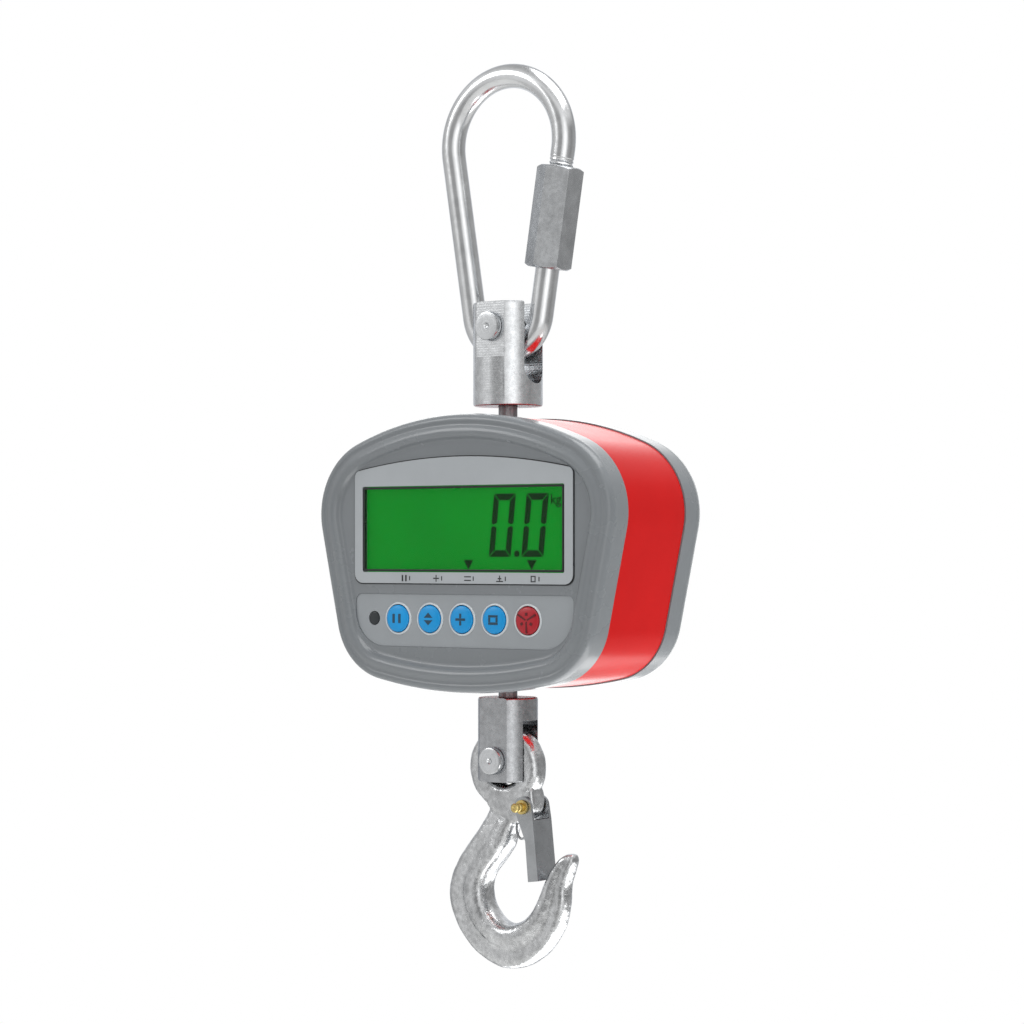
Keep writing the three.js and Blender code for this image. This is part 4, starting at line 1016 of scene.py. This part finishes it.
def roughen(obj, broad_height, broad_scale, fine_height, fine_scale):
    """Moves points along their normals by seeded noise, as a forged skin is uneven."""
    count = len(obj.data.vertices)
    points, normals = np.zeros(count * 3, np.float32), np.zeros(count * 3, np.float32)
    obj.data.vertices.foreach_get("co", points)
    obj.data.vertex_normals.foreach_get("vector", normals)
    points, normals = points.reshape(-1, 3), normals.reshape(-1, 3)
    lift = [broad_height * noise.noise(Vector(p * broad_scale))
            + fine_height * noise.noise(Vector(p * fine_scale)) for p in points]
    moved = points + normals * np.array(lift, np.float32)[:, None]
    obj.data.vertices.foreach_set("co", moved.ravel())
    obj.data.update()


def latch():
    cheek = (arc(LATCH_X, LATCH_Z, 4.2, math.radians(10), math.radians(205), 24)
             + [(14.8, -29), (17, -45.6), (22, -44.7), (18.2, -20)])
    obj = slab("latch_channel", cheek, -LATCH_HALF, LATCH_HALF)
    pocket = [(0, -5), (0, -50), (22 - SHEET - 0.8, -50), (18.2 - SHEET, -20), (30, -20), (30, -5)]
    inside = slab("pocket", pocket, -LATCH_HALF + SHEET, LATCH_HALF - SHEET)
    bore = rod("bore", LATCH_PIN + GAP, -12, 12, "Y", (LATCH_X, 0, LATCH_Z), 40)
    combine(obj, [inside, bore])
    soften(obj, 0.4, 3, 35)
    obj.data.transform(HANG)
    piece(obj, "latch", "zinc_sheet", ["safety_latch"], smooth=30)


def latch_pin():
    half, r = LATCH_HALF, LATCH_PIN
    front, far = -half - 6, half + GAP
    profile = [(0, front + 0.3), (0.6, front + 0.25), (0.8, front), (r - 0.4, front), (r, front + 0.4),
               (r, front + 1.2), (r - 0.35, front + 1.5), (r - 0.35, front + 2.3), (r, front + 2.6),
               (r, -far - 0.9), (r + 1, -far - 0.8), (r + 1.1, -far - 0.1), (r + 1, -far), (r, -far),
               (r, far), (r + 1.3, far), (r + 1.4, half + 0.6), (r + 1.1, half + 1.5),
               (r + 0.6, half + 1.8), (0, half + 1.8)]
    obj = lathe("latch_pin_brass", profile, "Y", (LATCH_X, 0, LATCH_Z), 40)
    obj.data.transform(HANG)
    piece(obj, "hook", "brass", ["latch_pin"], smooth=28)


def tube(name, points, radius, sides=12):
    """A round wire along the points."""
    points = np.asarray(points, float)
    ways = np.gradient(points, axis=0)
    ways /= np.linalg.norm(ways, axis=1)[:, None]
    normal = np.cross(ways[0], (0.1, 1, 0.2))
    rings = []
    for p, way in zip(points, ways):
        normal = normal - way * (normal @ way)
        normal /= np.linalg.norm(normal)
        side = np.cross(way, normal)
        rings.append([p + radius * (math.cos(a) * normal + math.sin(a) * side)
                      for a in np.linspace(0, 2 * math.pi, sides, endpoint=False)])
    return loft(name, rings)


def latch_spring():
    """Wire from the hook's throat, round a hanging loop, to the latch web."""
    points = [(8.8, -3, -18.6), (7.9, -3.2, -22), (8, -3.2, -26), (10, -3.2, -28.6), (12.6, -3, -27.6),
              (13.8, -2, -24.8), (15, -0.8, -25.6), (16.4, 0, -29.5), (17.5, 0, -34)]
    obj = tube("latch_spring_wire", catmull(points, 8), 0.5)
    obj.data.transform(HANG)
    piece(obj, "hook", "steel", ["latch_spring"], smooth=60)
    world = obj.matrix_world.copy()
    obj.parent = None
    obj.matrix_world = world
    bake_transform(obj)


# ---- carried-over CAD nodes ------------------------------------------------------------------


def numbered(name, count):
    return [f"{name}_{i}" for i in range(1, count + 1)]


def dress_cad():
    dressed = {
        "steel": ["top_pin_clip", "bottom_pin_clip", "top_stud", "top_stud_nut", "bottom_stud",
                  "bottom_stud_nut", "cell_bracket", *numbered("board_screw", 4),
                  *numbered("bracket_screw", 2)],
        "dark": ["infrared_receiver", "buzzer", "load_cell_cable", *numbered("key_switch", 5)],
        "lcd": ["lcd_panel"], "white": ["lcd_backlight"], "board": ["main_board"],
        "alloy": ["load_cell"], "wrap": ["battery_pack"],
    }
    for look, nodes in dressed.items():
        for node in nodes:
            slots = frame["nodes"][node].data.materials
            slots.clear()
            slots.append(LOOKS[look])


# ---- studio ----------------------------------------------------------------------------------


def camera():
    azimuth, distance = math.radians(35.5), 1.13
    data = bpy.data.cameras.new("camera")
    data.lens = 95.3
    data.shift_x, data.shift_y = 0.0039, 0.0381
    data.clip_start, data.clip_end = 0.05, 50
    obj = bpy.data.objects.new("camera", data)
    back = Vector((math.sin(azimuth), -math.cos(azimuth), 0))
    obj.location = back * distance + Vector((0, 0, MIDDLE))
    obj.rotation_mode = "QUATERNION"
    obj.rotation_quaternion = (-back).to_track_quat("-Z", "Y")
    bpy.context.scene.collection.objects.link(obj)
    bpy.context.scene.camera = obj


def area_light(name, where, towards, size, power, colour=(1, 1, 1)):
    data = bpy.data.lights.new(name, "AREA")
    data.shape = "RECTANGLE"
    data.size, data.size_y = size
    data.energy = power
    data.color = colour
    obj = bpy.data.objects.new(name, data)
    obj.location = where
    obj.rotation_mode = "QUATERNION"
    obj.rotation_quaternion = (Vector(towards) - Vector(where)).to_track_quat("-Z", "Y")
    bpy.context.scene.collection.objects.link(obj)


# Brightness round about by azimuth (0 in front of the display, 90 on its right), and by height.
ROUND = [(-180, 0.55), (-158, 1.15), (-135, 0.95), (-100, 0.6), (-62, 0.55), (-45, 0.72), (-30, 0.68),
         (-12, 0.34), (14, 0.34), (30, 0.95), (52, 1.5), (66, 0.95), (80, 0.4), (112, 0.28), (140, 0.38),
         (180, 0.55)]
UPWARDS = [(-1, 0.32), (-0.5, 0.3), (-0.25, 0.4), (0.25, 0.45), (0.5, 0.85), (0.8, 0.6), (1, 0.35)]
BEHIND = (-0.58, 0.81, 0.1)  # towards the white sheet that hangs behind the scale
BRIGHTEST = 2.0  # level of the sheet; the other levels are kept as shares of it


def level_ramp(net, value, stops, low, high):
    """A grey level for a value between low and high, from at most 16 stops."""
    spread = net.add("ShaderNodeMapRange", {"Value": value, "From Min": low, "From Max": high})
    node = net.add("ShaderNodeValToRGB", {0: spread.outputs["Result"]})
    ramp = node.color_ramp
    ramp.interpolation = "EASE"
    while len(ramp.elements) < len(stops):
        ramp.elements.new(0.5)
    for element, (at, level) in zip(ramp.elements, stops):
        element.position = (at - low) / (high - low)
        element.color = (*[level / BRIGHTEST] * 3, 1)
    return node.outputs[0]


def world():
    """Soft panels and dimmer gaps all round, a white sheet behind; plain white for the camera."""
    net = Net(bpy.data.worlds.new("studio"))
    towards = net.add("ShaderNodeTexCoord").outputs["Generated"]
    x, y, z = net.add("ShaderNodeSeparateXYZ", {0: towards}).outputs
    front = net.add("ShaderNodeMath", {0: y, 1: -1.0}, operation="MULTIPLY").outputs[0]
    azimuth = net.add("ShaderNodeMath", {0: x, 1: front}, operation="ARCTAN2").outputs[0]
    height = net.add("ShaderNodeMath", {0: z}, operation="ABSOLUTE").outputs[0]
    around = level_ramp(net, azimuth, [(math.radians(a), level) for a, level in ROUND], -math.pi, math.pi)
    upward = level_ramp(net, z, UPWARDS, -1, 1)
    facing = net.add("ShaderNodeVectorMath", {0: towards, 1: BEHIND}, operation="DOT_PRODUCT")
    sheet = net.smooth(facing.outputs["Value"], 0.72, 0.95)
    level = net.blend(sheet, net.blend(net.smooth(height, 0.3, 0.6), around, upward), (1, 1, 1))
    lit = net.add("ShaderNodeBackground", {"Color": level, "Strength": BRIGHTEST}).outputs[0]
    seen = net.add("ShaderNodeBackground", {"Color": (1, 1, 1, 1)}).outputs[0]
    from_camera = net.add("ShaderNodeLightPath").outputs["Is Camera Ray"]
    both = net.add("ShaderNodeMixShader", {0: from_camera, 1: lit, 2: seen}).outputs[0]
    net.add("ShaderNodeOutputWorld", {"Surface": both})
    bpy.context.scene.world = net.owner


def floor():
    """A plain pale round floor well under the hook."""
    radius, z = 2.0, cad_box[0].z - 0.6
    obj = new_object("floor", [(x, y, z) for x, y in arc(0, 0, radius, 0, 2 * math.pi, 96)[:-1]],
                     [tuple(range(96))])
    obj.data.flip_normals()
    net = Net()
    net.owner.name = "floor"
    grain = net.noise(net.place(), 12, 3.0)
    colour = net.blend(net.span(grain, 0, 1), (0.80, 0.80, 0.79), (0.84, 0.84, 0.83))
    obj.data.materials.append(net.surface({"Base Color": colour, "Roughness": 0.9}))


def lights():
    centre = (0, 0, MIDDLE)
    area_light("key", (-1.3, -1.5, 0.9), centre, (0.8, 1.0), 8)
    area_light("top", (0.35, 0.1, 1.0), centre, (1.2, 1.0), 13)
    area_light("under", (0.1, 0.1, cad_box[0].z - 0.22), centre, (0.6, 0.5), 2)


# ---- assembly --------------------------------------------------------------------------------

camera()
world()
floor()
lights()
bpy.context.scene.view_settings.view_transform = "Standard"

quick_link()
link_sleeve()
top_clevis()
bottom_clevis()
clevis_pin("top_pin_head", TOP_CLEVIS, "upper_clevis", "top_clevis_pin", 1)
clevis_pin("bottom_pin_head", LOW_CLEVIS, "lower_clevis", "bottom_clevis_pin", 2)
front_shell()
case_band()
rear_shell()
battery_door()
screws()
charging_socket()
display_overlay()
display_window()
display_figures()
legends()
keypad()
keys()
hook()
latch()
latch_pin()
latch_spring()
dress_cad()
